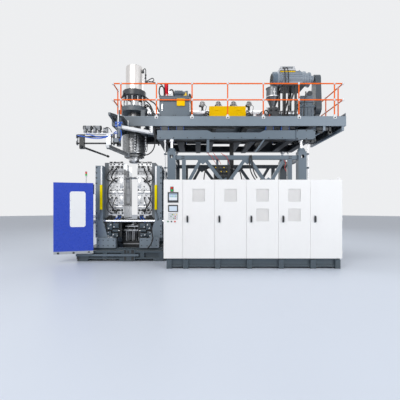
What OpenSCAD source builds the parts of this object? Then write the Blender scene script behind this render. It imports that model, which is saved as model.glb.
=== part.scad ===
// Accumulator-head blow moulding machine for drums.
// X runs from the clamp to the drive, Y from the cabinet doors to the back, Z up from the floor.
// Sizes are millimetres. Modules draw in a frame whose Y = 0 is the cabinet front; placed() centres it.

/* [Cabinets] */
// Left edge of the control column
cab_left = -861; // [-870:1:-850]
// Width of the control column
ctl_w = 486; // [460:1:500]
// Width of one cabinet bay
bay_w = 809; // [790:1:812]
// Height of the cabinet bodies
cab_h = 2002; // [1950:1:2050]
// Depth of the cabinets, doors included
cab_d = 620; // [560:1:700]
// Wall and divider thickness of the cabinet body
cab_wall = 20; // [12:1:30]
// Height of the plinth under the cabinets
plinth_h = 258; // [220:1:280]
// Thickness of a door with its folded rim
door_t = 24; // [18:1:30]
// Gap round each door
door_gap = 3; // [2:0.5:5]
// Diameter of a door hinge's pin
hinge_d = 8; // [6:0.5:9]
// Distance of a hinge pin's axis in front of the door
hinge_out = 6; // [5.5:0.5:9]
// Width of a louvre panel
vent_w = 340; // [280:5:380]
// Height of a louvre panel
vent_h = 345; // [300:5:360]
// Height of the swing handle's centre above the floor
handle_z = 1260; // [1150:5:1350]
// Height of the push buttons above the floor
button_z = 1198; // [1150:1:1230]

/* [Clamp unit] */
// Centre of the clamp and of the die head along X
clamp_x = -2080; // [-2090:1:-2070]
// Centre of the mould and of the die head along Y
head_y = 2270; // [2240:1:2300]
// Distance between the mould faces at rest
mould_open = 416; // [380:2:430]
// Thickness of one mould half
mould_t = 460; // [420:5:480]
// Depth of the mould, front to back
mould_d = 1130; // [1000:5:1160]
// Lowest point of the mould
mould_z = 1200; // [1180:5:1240]
// Height of the mould
mould_h = 1740; // [1600:5:1760]
// Radius of the drum cavity
drum_r = 280; // [240:5:290]
// Height of the drum cavity
drum_h = 890; // [700:5:900]
// Thickness of the back plate behind a mould half
back_t = 120; // [90:5:130]
// Thickness of a platen
platen_t = 215; // [180:5:230]
// Depth of a platen, front to back
platen_d = 1640; // [1600:5:1680]
// Top of the platens
platen_top = 2820; // [2700:5:2880]
// Diameter of the tie bars
tie_d = 84; // [70:1:90]
// Height of the front tie bar
tie_z = 1142; // [1120:1:1150]
// Height of the rear tie bar
tie_rear_z = 2600; // [2500:5:2650]
// Height of the clamp base
base_h = 295; // [260:5:300]
// Length of the clamp base
base_l = 2540; // [2500:5:2545]

/* [Blow unit] */
// Diameter of the guide columns under the mould
guide_d = 42; // [36:1:48]
// Height of the guide columns
guide_h = 390; // [360:5:400]
// Diameter of a blow pin
pin_d = 56; // [48:1:60]
// Distance between the two blow pins
pin_gap = 300; // [260:5:320]

/* [Safety cover] */
// Width of the sliding safety cover
cover_w = 1050; // [1020:1:1060]
// Height of the cover's painted sheet
cover_h = 1930; // [1850:5:1960]
// Turn of the cover's front sheet about Z
cover_turn = 14.6; // [12:0.1:15]
// Sheet thickness of the cover
cover_t = 6; // [4:1:8]
// Width of the window pane
pane_w = 355; // [300:5:380]
// Height of the window pane
pane_h = 943; // [880:1:980]

/* [Lower frame] */
// Outer width of a column
col_w = 240; // [200:5:260]
// Wall of a column
col_wall = 14; // [10:1:20]
// Height of the column tops
col_h = 3310; // [3280:5:3330]
// Distance between the column rows, front to back
col_span_y = 1950; // [1900:10:1960]
// Depth of a truss beam
chord_h = 120; // [100:5:130]
// Radius of an anchor hole
anchor_r = 14; // [11:0.5:18]
// Distance between anchor holes
anchor_gap = 300; // [290:5:310]

/* [Lift frame] */
// Underside of the lift frame
lift_z = 3575; // [3560:5:3590]
// Height of the lift frame's beams
lift_h = 255; // [220:5:260]
// Diameter of a jack screw
jack_d = 88; // [70:1:95]
// Diameter of a guide rod
rod_d = 30; // [24:1:36]
// Length of a guide rod
rod_l = 1140; // [1000:10:1200]
// Height of a slide block
slide_h = 125; // [100:5:140]

/* [Platform] */
// Right end of the platform
deck_right = 4370; // [4300:10:4400]
// Left end of the platform
deck_left = -2520; // [-2540:5:-2500]
// Depth of the platform, front to back
deck_d = 2500; // [2480:10:2600]
// Height of the platform's edge beam
deck_h = 285; // [250:5:300]
// Thickness of the deck plate
deck_t = 16; // [10:1:20]
// Height of the guard rail above the deck
rail_h = 970; // [900:10:1100]
// Diameter of a guard rail tube
rail_d = 38; // [32:1:44]
// Distance between guard rail posts
rail_step = 1050; // [1000:5:1060]

/* [Die head] */
// Diameter of the hydraulic cylinder
cyl_d = 554; // [540:2:620]
// Height of the hydraulic cylinder
cyl_h = 790; // [700:5:820]
// Diameter of the collar under the cylinder
collar_d = 760; // [740:5:780]
// Diameter of a head tie rod
hrod_d = 46; // [36:1:50]
// Number of head tie rods
hrod_n = 12; // [8:2:14]
// Diameter of the accumulator body
acc_d = 760; // [700:5:780]
// Diameter of the piston rod
piston_d = 200; // [160:5:220]
// Diameter of the mandrel's stem
stem_d = 80; // [60:2:90]
// Diameter of the pipe between the extruder and the head
adapter_d = 110; // [90:2:116]
// Radius of the die opening
die_r = 95; // [85:1:105]
// Gap between die and mandrel
die_gap = 5; // [4:0.5:8]

/* [Extruder] */
// Height of the barrel axis
barrel_z = 4650; // [4630:5:4670]
// Diameter of the barrel
barrel_d = 190; // [176:2:196]
// Diameter of the screw
screw_d = 120; // [100:1:125]
// Length of the yellow barrel cover
bcover_l = 1180; // [1100:10:1200]
// Diameter of the motor body
motor_d = 520; // [460:5:540]
// Height of the motor shaft
motor_z = 5765; // [5740:5:5790]
// Height of the gearbox input shaft
input_z = 4810; // [4790:5:4830]
// Diameter of the driven pulley
pulley_big_d = 380; // [340:5:400]
// Diameter of the motor pulley
pulley_small_d = 240; // [200:5:260]
// Diameter of the hopper
hopper_d = 420; // [360:5:440]

/* [Take-out arm] */
// Length of the take-out crossbeam
cross_l = 960; // [900:10:980]
// Height of the crossbeam's lower bar
cross_z = 3300; // [3290:1:3310]
// Turn of the take-out arms about Z
arm_turn = 10; // [6:1:12]

/* [Clearances] */
// Seam left between two members of a truss
seam = 0.3; // [0.2:0.1:0.5]
// Running clearance round a sliding bar, on the radius
run_gap = 0.5; // [0.3:0.1:1]
// Clearance of a small pivot or plunger, on the radius
fit_gap = 0.3; // [0.2:0.1:0.5]

/* [Hidden] */

slate = [0.42, 0.48, 0.53];
dark = [0.16, 0.18, 0.2];
offwhite = [0.93, 0.93, 0.94];
silver = [0.8, 0.81, 0.83];
orange = [0.95, 0.38, 0.08];
yellow = [1, 0.76, 0];
blue = [0.16, 0.28, 0.72];

mid_x = 182.5;
mid_y = 1825;
front_y = 1200;

cab_right = cab_left + ctl_w + 5 * bay_w;
cab_top = plinth_h + cab_h;
panel_x = cab_left + ctl_w / 2;
bay_x = [for (i = [0:4]) cab_left + ctl_w + i * bay_w];
button_x = [panel_x - 129, panel_x - 41, panel_x + 48];
vent_z = [[1865], [1865], [1865, 1365], [1865, 1365], []];

mould_face = [clamp_x - mould_open / 2, clamp_x + mould_open / 2];
platen_y = head_y - platen_d / 2;
platen_bottom = 645;
platen_back = mould_open / 2 + mould_t + back_t;
tie_y = [platen_y + 110, platen_y + platen_d - 110];
tie_zs = [tie_z, tie_rear_z];
col_x = [-885, 2970];
base_left = col_x[0] - 75 - base_l;
base_y = 1070;
base_back = 3400;
rail_y = [platen_y - 60, platen_y + platen_d + 60];
slide_rail_h = 55;
shoe_z = base_h + slide_rail_h;

col_y = [front_y, front_y + col_span_y];
jack_x = [for (x = col_x) x + col_w / 2];
jack_y = [for (y = col_y) y + col_w / 2];
chord_z = col_h - 330;
low_chord_z = col_h - 1130;

lift_top = lift_z + lift_h;
deck_z = lift_top + slide_h;
deck_top = deck_z + deck_h;
deck_back = front_y + deck_d;
slide_x = [-970, -515, 2130, 2590];

unit_x = -1130;
unit_w = 890;
unit_h = 600;
flange_z = 4640;
rod_pcd = 680;
collar_z = 5160;
collar_h = 190;
cyl_z = collar_z + collar_h + 20;
acc_z = 3280;
acc_h = 630;
inlet_x = clamp_x + 460;
gear_x = 3270;
guard_x = 3830;
hopper_x = 2480;
blower_x = [160, 680, 1180, 1690];
cover_x = 380;

pivot_x = -2190;
pivot_y = 750;
post_x = [for (i = [0:6]) -2260 + i * rail_step];
hinge_z = [for (k = [0.08, 0.5, 0.92]) plinth_h + k * cab_h];

// Draws in the machine's own frame, whose Y = 0 is the cabinet front
module placed() translate([-mid_x, -mid_y, 0]) children();

// Box given by its low corner and its size
module block(at, size) translate(at) cube(size);

// Cylinder along Y or X, starting at a point
module bar_y(at, d, l, n = 48) translate(at) rotate([-90, 0, 0]) cylinder(d = d, h = l, $fn = n);
module bar_x(at, d, l, n = 48) translate(at) rotate([0, 90, 0]) cylinder(d = d, h = l, $fn = n);
module bar_z(at, d, l, n = 48) translate(at) cylinder(d = d, h = l, $fn = n);

// Flat bar of square section between two points in the XZ plane
module strut(a, b, w, y, d) {
    l = norm(b - a);
    turn = atan2(b[1] - a[1], b[0] - a[0]);
    translate([a[0], y, a[1]]) rotate([0, -turn, 0]) translate([0, 0, -w / 2]) cube([l, d, w]);
}

// Triangular plate in the XZ plane
module gusset(points, y, t) translate([0, y + t, 0]) rotate([90, 0, 0]) linear_extrude(t) polygon(points);

// Plate with rounded corners, standing in the XZ plane
module rounded_plate(w, h, r, t) {
    rotate([90, 0, 0]) translate([0, 0, -t]) linear_extrude(t) {
        translate([r, 0]) square([w - 2 * r, h]);
        translate([0, r]) square([w, h - 2 * r]);
        for (x = [r, w - r], y = [r, h - r]) translate([x, y]) circle(r = r, $fn = 32);
    }
}

/* Clamp base: two long beams on cross members, with the linear rails on top */
module clamp_base() color(slate) placed() {
    beam_d = 430;
    difference() {
        union() {
            for (y = [base_y, base_back - beam_d]) block([base_left, y, 60], [base_l, beam_d, base_h - 60]);
            for (x = [base_left, clamp_x - 320, clamp_x - 25, base_left + base_l - 300])
                block([x, base_y + 20, 60], [300, base_back - base_y - 40, base_h - 60]);
            for (x = [base_left + 20, clamp_x - 180, base_left + base_l - 320], y = [base_y, base_back - beam_d])
                block([x, y, 0], [300, beam_d, 60]);
            for (y = jack_y)
                block([base_left + base_l - 1, y - 60, 90], [col_x[0] - base_left - base_l + 1, 120, 150]);
        }
        for (y = [base_y - 1, base_back - beam_d - 1], i = [0:3])
            block([base_left + 340 + i * 540, y, 110], [420, 81, base_h - 160]);
        for (x = [base_left + 70, base_left + base_l - 70], y = [base_y + 60, base_back - 60])
            bar_z([x, y, -1], 2 * anchor_r, base_h + 2);
    }
    for (y = rail_y) difference() {
        block([base_left + 120, y - 35, base_h], [base_l - 220, 70, slide_rail_h]);
        for (s = [-1, 1]) block([base_left + 119, y + s * 35 - 8, base_h + 16], [base_l - 218, 16, 16]);
    }
}

/* Plinth: a set-back channel with a post at each door division */
module plinth() color(slate) placed() {
    left = cab_left + 76;
    difference() {
        block([left, 50, 40], [cab_right - left - 40, cab_d - 90, plinth_h - 40]);
        block([left - 1, 49, 90], [cab_right - left - 38, 26, plinth_h - 130]);
        block([left + 40, 120, 39], [cab_right - left - 120, cab_d - 230, plinth_h - 99]);
    }
    for (x = concat([left], [for (b = bay_x) b + 12], [cab_right - 170]), y = [10, cab_d - 140])
        block([x, y, 0], [130, 110, plinth_h - 30]);
}

/* Cabinet body: one folded shell with a compartment behind each door */
module cabinet_frame() color(offwhite) placed() difference() {
    block([cab_left, door_t, plinth_h], [cab_right - cab_left, cab_d - door_t, cab_h]);
    block([cab_left + cab_wall, door_t - 1, plinth_h + cab_wall],
        [ctl_w - 1.5 * cab_wall, cab_d - door_t - cab_wall + 1, cab_h - 2 * cab_wall]);
    for (x = bay_x)
        block([x + cab_wall / 2, door_t - 1, plinth_h + cab_wall],
            [bay_w - (x == bay_x[4] ? 1.5 : 1) * cab_wall, cab_d - door_t - cab_wall + 1, cab_h - 2 * cab_wall]);
    for (x = bay_x, i = [0:5])
        block([x + bay_w / 2 - 150, cab_d - 6, cab_top - 220 - i * 24], [300, 7, 12]);
}

/* Switchgear: a mounting tray with rows of modules in each bay */
module switchgear() color(silver) placed() for (x = bay_x) {
    w = bay_w - 160;
    h = cab_h - 300;
    back = cab_d - cab_wall;
    translate([x + 80, back - 40, plinth_h + 150]) {
        difference() {
            cube([w, 40, h]);
            translate([6, 6, 6]) cube([w - 12, 35, h - 12]);
        }
        for (row = [0:4], i = [0:6])
            translate([30 + i * (w - 60) / 7, -70 - (row % 2) * 40, 120 + row * 300])
                cube([(w - 60) / 7 - 12, 70 + (row % 2) * 40, 150]);
        for (row = [0:4]) translate([20, -60, 20 + row * 300]) cube([w - 40, 60, 50]);
    }
}

/* Control panel: the fixed front of the control column */
module control_panel() color(offwhite) placed() difference() {
    block([cab_left + door_gap, 0, plinth_h + door_gap], [ctl_w - 2 * door_gap, door_t, cab_h - 2 * door_gap]);
    block([panel_x - 105, -1, 1725], [210, door_t + 2, 180]);
    block([panel_x - 100, -1, 1465], [200, door_t + 2, 130]);
    for (i = [0:1]) bar_y([button_x[i], -1, button_z], 24 + 2 * fit_gap, door_t + 2);
    bar_y([button_x[2], -1, button_z], 30 + 2 * fit_gap, door_t + 2);
    for (z = [2046, 1986]) bar_y([panel_x - 30, -1, z], 24 + 2 * fit_gap, door_t + 2);
}

/* Two operator screens, the keypad strip and the red and green lamps */
module panel_devices() color(dark) placed() {
    for (s = [[270, 263, 1677, 210, 180, 1725, 55], [250, 180, 1440, 200, 130, 1465, 20]]) difference() {
        union() {
            block([panel_x - s[0] / 2, -12, s[2]], [s[0], 12, s[1]]);
            block([panel_x - s[3] / 2 + 1, 0, s[5] + 1], [s[3] - 2, 60, s[4] - 2]);
        }
        block([panel_x - s[3] / 2, -13, s[2] + s[6]], [s[3], 4, s[1] - s[6] - 30]);
    }
    for (i = [0:5]) block([panel_x - 102 + i * 36, -16, 1692], [24, 5, 24]);
    difference() {
        block([panel_x - 120, -6, 1245], [240, 6, 165]);
        for (row = [0:2], i = [0:5]) block([panel_x - 104 + i * 36, -7, 1262 + row * 48], [28, 3, 32]);
    }
    for (z = [2046, 1986]) {
        bar_y([panel_x - 30, -9, z], 56, 9);
        bar_y([panel_x - 30, -9, z], 24, door_t + 20);
        translate([panel_x - 30, -9, z]) rotate([90, 0, 0]) rotate_extrude($fn = 48)
            polygon([for (a = [0:10:90]) [23 * cos(a), 26 * sin(a)], [0, 0]]);
    }
}

/* Lower columns: four hollow columns with anchor plates, screw nuts and rod guides */
module lower_columns() color(slate) placed() for (i = [0:1], y = col_y) {
    x = col_x[i];
    out = i == 0 ? -1 : 1;
    cx = x + col_w / 2;
    cy = y + col_w / 2;
    rod_x = cx + out * (col_w / 2 + 80);
    difference() {
        union() {
            block([x, y, 30], [col_w, col_w, col_h - 130]);
            bar_z([cx, cy, col_h - 100], col_w - 10, 60);
            bar_z([cx, cy, col_h - 40], col_w - 60, 40);
            block([cx - 190, cy - 190, 0], [380, 380, 30]);
            for (z = [2736, 3145]) {
                block([min(cx, rod_x), cy - 30, z - 12], [abs(rod_x - cx), 60, 24]);
                bar_z([rod_x, cy, z - 24], rod_d + 36, 48);
            }
        }
        block([x + col_wall, y + col_wall, 60], [col_w - 2 * col_wall, col_w - 2 * col_wall, col_h - 190]);
        bar_z([cx, cy, col_h - 140], jack_d + 2 * run_gap, 150);
        for (z = [2736, 3145]) bar_z([rod_x, cy, z - 30], rod_d + 2 * run_gap, 60);
        bar_y([cx, y - 1, 3060], 108, col_w + 2);
        for (sx = [-1, 1], sy = [-1, 1])
            bar_z([cx + sx * anchor_gap / 2, cy + sy * anchor_gap / 2, -1], 2 * anchor_r, 32);
    }
}

/* Lower trusses: every chord, post, brace and gusset is a bar of its own, a weld seam away from the next */
module lower_trusses() color(slate) placed() {
    left = col_x[0] + col_w;
    long = col_x[1] - left;
    top = chord_z - seam;
    low = low_chord_z + chord_h + seam;
    for (y = [col_y[0] + 60, col_y[1] + 60]) {
        for (z = [chord_z, low_chord_z]) block([left, y, z], [long, 120, chord_h]);
        for (x = [-460, 2685]) block([x, y, low], [115, 120, top - low]);
        for (s = [[-300, 120], [800, 200], [880, 1440], [2060, 1520], [2140, 2600]]) intersection() {
            strut([s[0], low - 45], [s[1], top + 45], 95, y + 15, 90);
            block([left, y, low], [long, 120, top - low]);
        }
        for (x = [160, 1480]) gusset([[x - 190, top], [x + 190, top], [x, top - 150]], y + 2.5, 12);
        for (x = [840, 2100]) gusset([[x - 190, low], [x + 190, low], [x, low + 150]], y + 2.5, 12);
    }
    for (x = [col_x[0] + 60, col_x[1] + 60], z = [chord_z, low_chord_z])
        block([x, col_y[0] + col_w, z], [120, col_span_y - col_w, chord_h]);
    tray_l = col_y[0] + 60 - seam - cab_d;
    for (x = [-300, 2300]) {
        block([x, cab_d, low_chord_z + 10], [300, tray_l, 5]);
        for (side = [0, 295]) block([x + side, cab_d, low_chord_z + 15 + seam], [5, tray_l, 55 - seam]);
    }
    behind = col_y[0] + 180 + seam;
    for (x = [560, 900]) block([x, behind, low_chord_z + 60], [70, 70, 810]);
    block([500, behind + 70 + seam, 2390], [510, 265, 440]);
}

/* Guide rail of the safety cover, bolted to the front of the clamp base, with the signal tower */
module cover_track() color(slate) placed() {
    block([base_left, base_y - 26, 150], [1800, 26, 60]);
    block([base_left, base_y - 60, 150], [1800, 34, 16]);
    block([base_left, base_y - 60, 150], [1800, 10, 60]);
    tx = -3264;
    ty = 1180;
    bar_z([tx, ty, base_h], 100, 20);
    lamp_h = 41;
    pole = 2135;
    bar_z([tx, ty, base_h + 20], 26, pole);
    bar_z([tx, ty, base_h + 20 + pole], 56, 30);
    for (i = [0:2]) bar_z([tx, ty, base_h + 50 + pole + i * lamp_h], i == 1 ? 50 : 54, lamp_h);
    bar_z([tx, ty, base_h + 50 + pole + 3 * lamp_h], 40, 12);
}

/* Blow unit base: lower plate, six guide columns and the upper plate */
guide_pos = [for (x = [-200, 0, 200], y = [-260, 260]) [clamp_x + x, head_y + y]];
module blow_base() color(silver) placed() {
    plate_z = base_h + 35;
    difference() {
        union() {
            block([clamp_x - 290, head_y - 350, base_h], [580, 700, 125]);
            for (p = guide_pos) bar_z([p[0], p[1], base_h + 125], guide_d, guide_h);
            block([clamp_x - 290, head_y - 350, base_h + 125 + guide_h], [580, 700, 50]);
            bar_z([clamp_x, head_y, base_h + 125], 180, guide_h);
        }
        bar_z([clamp_x, head_y, plate_z + 130], 70 + 2 * run_gap, guide_h + 100);
        for (s = [-1, 1]) bar_z([clamp_x + s * 200, head_y, plate_z], 50 + 2 * run_gap, guide_h + 200);
    }
}

/* Blow unit slide: lifting rod, two guide rods, the carrier and the blow pins */
module blow_slide() color(silver) placed() {
    carrier = base_h + 125 + guide_h + 130;
    bar_z([clamp_x, head_y, carrier - 420], 70, 420);
    for (s = [-1, 1]) bar_z([clamp_x + s * 200, head_y, carrier - 500], 50, 500);
    block([clamp_x - 250, head_y - 240, carrier], [500, 480, 45]);
    for (s = [-1, 1]) {
        y = head_y + s * pin_gap / 2;
        bar_z([clamp_x, y, carrier + 45], 100, 40);
        bar_z([clamp_x, y, carrier + 85], pin_d, 75);
        translate([clamp_x, y, carrier + 160]) cylinder(d1 = pin_d, d2 = pin_d - 16, h = 15, $fn = 48);
    }
}

/* Cabinet door: a folded tray, with louvred panels where the bay has them */
module door(i) color(offwhite) placed() {
    x = bay_x[i] + door_gap;
    z = plinth_h + door_gap;
    w = bay_w - 2 * door_gap;
    h = cab_h - 2 * door_gap;
    sheet = 3;
    difference() {
        block([x, 0, z], [w, door_t, h]);
        block([x + 12, sheet, z + 12], [w - 24, door_t, h - 24]);
        for (v = vent_z[i]) block([x + (w - vent_w) / 2, -1, v - vent_h / 2], [vent_w, sheet + 2, vent_h]);
        bar_y([x + 115, -1, handle_z], 20 + 2 * fit_gap, sheet + 2);
    }
    for (v = hinge_z) {
        bar_z([x + w, -hinge_out, v - 35], hinge_d, 70);
        block([x + w - 34, -hinge_out, v - 35], [34, hinge_out + 1, 70]);
    }
    for (v = vent_z[i]) translate([x + (w - vent_w) / 2, 0, v - vent_h / 2]) {
        difference() {
            translate([-8, -3, -8]) cube([vent_w + 16, 8, vent_h + 16]);
            translate([14, -4, 14]) cube([vent_w - 28, 10, vent_h - 28]);
        }
        count = floor((vent_h - 28) / 26);
        for (k = [0:count - 1]) translate([12, 3, 18 + k * 26]) rotate([-38, 0, 0]) translate([0, -9, 0])
            cube([vent_w - 24, 15, 4]);
    }
}

/* Swing handle: a lever on a spindle that passes through the door */
module handle(i) color(dark) placed() translate([bay_x[i] + door_gap + 115, 0, handle_z]) {
    translate([-20, -46, -75]) rounded_plate(40, 150, 19, 22);
    bar_y([0, -25, 0], 34, 25);
    bar_y([0, -2, 0], 20, 34);
    block([-9, 20, -40], [18, 6, 52]);
}

/* Push button, selector and emergency stop */
module button(x, cap_d, cap_l, stem_d) placed() {
    bar_y([x, -cap_l - 8, button_z], cap_d, cap_l, 40);
    bar_y([x, -8, button_z], stem_d, door_t + 20, 40);
}
module start_button() color([0.1, 0.6, 0.2]) button(button_x[0], 28, 8, 24);
module selector_switch() color(dark) {
    button(button_x[1], 28, 8, 24);
    placed() block([button_x[1] - 4, -26, button_z - 14], [8, 12, 28]);
}
module e_stop() color([0.8, 0.08, 0.08]) {
    button(button_x[2], 40, 12, 30);
    placed() translate([button_x[2], -20, button_z]) rotate([90, 0, 0]) rotate_extrude($fn = 48)
        polygon([for (a = [0:10:90]) [20 * cos(a), 8 * sin(a)], [0, 0]]);
}

/* Half of the drum's outline, swept for the cavity: rings, shoulders and the two necks */
module drum() {
    r = drum_r;
    h = drum_h;
    rotate_extrude($fn = 96) polygon([
        [0, 0], [r - 90, 0], [r - 30, 40], [r - 8, 130], [r - 8, h * 0.3], [r, h * 0.32], [r, h * 0.36],
        [r - 8, h * 0.38], [r - 8, h * 0.62], [r, h * 0.64], [r, h * 0.68], [r - 8, h * 0.7],
        [r - 8, h - 130], [r - 30, h - 40], [r - 90, h], [0, h]]);
}

/* Mould half: three bolted blocks and a back plate, drawn for the right side */
module mould_half() difference() {
    y = head_y - mould_d / 2;
    joint = [0, 0.26, 0.5, 0.775, 1];
    union() {
        for (i = [0:3]) {
            inset = i == 3 ? 0 : i == 0 ? 12 : 6;
            z0 = mould_z + joint[i] * mould_h;
            block([mould_open / 2, y + inset, z0], [mould_t, mould_d - 2 * inset, (joint[i + 1] - joint[i]) * mould_h]);
        }
        block([mould_open / 2 + mould_t, y - 40, mould_z - 60], [back_t, mould_d + 80, mould_h + 60]);
        for (z = [0.08, 0.9])
            block([mould_open / 2 + 60, y - 18, mould_z + z * mould_h], [mould_t - 60, mould_d + 36, 90]);
    }
    translate([mould_open / 2, head_y, mould_z + 450]) drum();
    for (s = [-1, 1]) bar_z([mould_open / 2, head_y + s * pin_gap / 2, mould_z - 61], pin_d + 12, 560);
    bar_z([mould_open / 2, head_y, mould_z + mould_h - 420], 300, 430);
    for (z = [0.26, 0.5, 0.775])
        block([mould_open / 2 - 1, y - 41, mould_z + z * mould_h - 2], [mould_t - 20, 47, 4]);
    for (yy = [y - 1, y + mould_d - 30], z = [0.2, 0.44, 0.68])
        block([mould_open / 2 + 250, yy, mould_z + z * mould_h - 60], [120, 31, 120]);
}

module flipped(side) translate([clamp_x, 0, 0]) mirror([side < 0 ? 1 : 0, 0, 0]) children();
module mould_left() color(silver) placed() flipped(-1) mould_half();
module mould_right() color(silver) placed() flipped(1) mould_half();

/* Platen: ribbed plate on front and rear shoes, with a gusset at each foot */
module platen_half(tie_clear) difference() {
    x = platen_back;
    top = platen_top;
    y1 = platen_y + platen_d;
    union() {
        block([x, platen_y, platen_bottom], [60, platen_d, top - platen_bottom]);
        for (y = [platen_y, platen_y + 360, y1 - 410, y1 - 50])
            block([x, y, platen_bottom], [platen_t, 50, top - platen_bottom]);
        for (z = [platen_bottom, 1440, 2050, top - 50])
            block([x, platen_y, z], [platen_t - 20, platen_d, 50]);
        for (y = rail_y) {
            block([x - 430, y - 90, shoe_z], [platen_t + 350, 180, platen_bottom - shoe_z]);
        }
        for (y = [platen_y, platen_y + platen_d - 50])
            gusset([[x - 150, platen_bottom - 1], [x + 1, platen_bottom - 1], [x + 1, 1090], [x - 30, 1090]], y, 50);
        for (i = [0:1]) bar_x([x, tie_y[i], tie_zs[i]], tie_d + 110, platen_t);
        block([x + 4, platen_y - 45, 1495], [66, 46, 735]);
    }
    for (i = [0:1]) bar_x([x - 1, tie_y[i], tie_zs[i]], tie_d + 2 * tie_clear, platen_t + 2);
}
module platen_left() color(slate) placed() flipped(-1) platen_half(0);
module platen_right() color(slate) placed() flipped(1) platen_half(run_gap);

/* Tie bars: locked in the left platen, free to slide in the right one */
module tie_bars() color(silver) placed() for (i = [0:1]) {
    left = clamp_x - platen_back - platen_t;
    right = clamp_x + platen_back + platen_t + 150;
    bar_x([left, tie_y[i], tie_zs[i]], tie_d, right - left);
    bar_x([left - 90, tie_y[i], tie_zs[i]], tie_d + 80, 90);
}

/* Safety cover: a folded blue sheet, turned a little, on a bottom runner */
module cover_frame() translate([-3995, 700, 0]) rotate([0, 0, cover_turn]) children();
module safety_cover() color(blue) placed() {
    bottom = 323;
    cover_frame() {
        difference() {
            block([0, 0, bottom], [cover_w, 40, cover_h]);
            block([cover_t, cover_t, bottom + cover_t], [cover_w - 2 * cover_t, 40, cover_h - 2 * cover_t]);
            translate([457, -1, 1033]) rounded_plate(pane_w, pane_h, 35, 20);
        }
        difference() {
            block([0, 0, 246], [cover_w, 40, 77]);
            block([12, 12, 245], [cover_w - 24, 40, 60]);
        }
        block([cover_w, 0, 1935], [26, 34, 280]);
    }
    block([-3400, base_y - 48, 166], [360, 18, 150]);
    block([-3400, 900, 246], [360, base_y - 930, 24]);
}

/* Window of the cover: a clear pane in a raised white frame */
module cover_window() color(offwhite) placed() cover_frame() translate([427, 0, 1003]) {
    rim = 30;
    difference() {
        translate([0, -8, 0]) rounded_plate(pane_w + 2 * rim, pane_h + 2 * rim, 55, 8);
        translate([rim, -9, rim]) rounded_plate(pane_w, pane_h, 35, 12);
    }
    translate([rim, -4, rim]) rounded_plate(pane_w, pane_h, 35, 7);
}

/* Lift frame: front and rear beams, cross beams and the slide blocks that carry the platform */
module lift_frame() color(slate) placed() {
    left = -1190;
    right = 3460;
    mid = 190;
    for (y = [front_y + 20, front_y + col_span_y + 20]) {
        block([left, y, lift_z], [1480, 200, lift_h]);
        block([290, y, lift_z], [1680, 200, lift_h - 65]);
        block([1970, y, lift_z], [right - 1970, 200, lift_h]);
        gusset([[290, lift_top - 66], [430, lift_top - 66], [290, lift_top]], y, 30);
        gusset([[1970, lift_top - 66], [1830, lift_top - 66], [1970, lift_top]], y, 30);
        for (x = slide_x) block([x - 105, y + 10, lift_top], [210, 180, slide_h]);
    }
    block([2900, front_y - 10, lift_z - 20], [560, 30, lift_h + 30]);
    for (x = [left, -640, 300, 1150, 2000, 2700, right - 200])
        block([x, front_y + 220, lift_z], [x == left ? 220 : 200, col_span_y - 200, 180]);
    for (x = [-60, 1560]) block([x, front_y + 220, lift_z - 60], [160, col_span_y - 200, 120]);
    block([270, front_y + 60, lift_z - 400], [80, 80, 400]);
    strut([1980, lift_z + 4], [1716, lift_z - 380], 40, front_y + 60, 40);
}

/* Jack screws with their guide rods: they sink into the columns as the frame comes down */
module jack_screws() color(offwhite) placed() for (i = [0:1], y = jack_y) {
    out = i == 0 ? -1 : 1;
    rod_x = jack_x[i] + out * (col_w / 2 + 80);
    bar_z([jack_x[i], y, lift_z - 60], jack_d + 60, 60);
    bar_z([jack_x[i], y, lift_z - 760], jack_d, 700);
    bar_z([rod_x, y, lift_z - 60], rod_d + 40, 60);
    bar_z([rod_x, y, lift_z - 60 - rod_l], rod_d, rod_l);
}

/* Platform: edge channels, joists and the deck plate, with the bracket frame at the left */
module platform() color(slate) placed() difference() {
    cells = 6;
    gap = 90;
    head_w = 1000;
    first = -1450;
    step = (deck_right - 20 - first) / cells;
    bracket_l = 750;
    union() {
        block([deck_left, front_y, deck_z], [deck_right - deck_left, deck_d, deck_h]);
        for (s = [[-2400, bracket_l], [-2140, bracket_l - 400]])
            translate([s[0], 0, 0]) rotate([90, 0, 90]) linear_extrude(60) polygon([
                [front_y - s[1], deck_z + 85], [front_y + 1, deck_z], [front_y + 1, deck_z + 155],
                [front_y - s[1], deck_z + 155]]);
        translate([0, 0, deck_z + 85]) linear_extrude(70) polygon([
            [-2400, front_y - bracket_l], [-2360, front_y - bracket_l], [-2080, front_y - bracket_l + 350],
            [-2080, front_y - bracket_l + 430], [-2140, front_y - bracket_l + 430]]);
        block([-2400, front_y - 250, deck_z + 85], [320, 50, 70]);
        for (x = [3700, 4250]) block([x, front_y + 20, deck_z - 130], [70, deck_d - 60, 131]);
    }
    for (i = [0:cells - 1]) {
        block([first + i * step + 20, front_y + 20, deck_z + 14], [step - 20, deck_d - 40, deck_h - deck_t - 14]);
        block([first + i * step + gap, front_y + gap, deck_z - 1], [step - 2 * gap + 20, deck_d - 2 * gap, 30]);
    }
    block([deck_left + 20, front_y + 20, deck_z + 14], [first - deck_left - 20, deck_d - 40, deck_h - deck_t - 14]);
    block([deck_left + 60, front_y + 60, deck_z - 1], [first - deck_left - 100, deck_d - 120, 30]);
    bar_z([clamp_x, head_y, deck_top - 30], head_w - 160, 40, 96);
}

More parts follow.
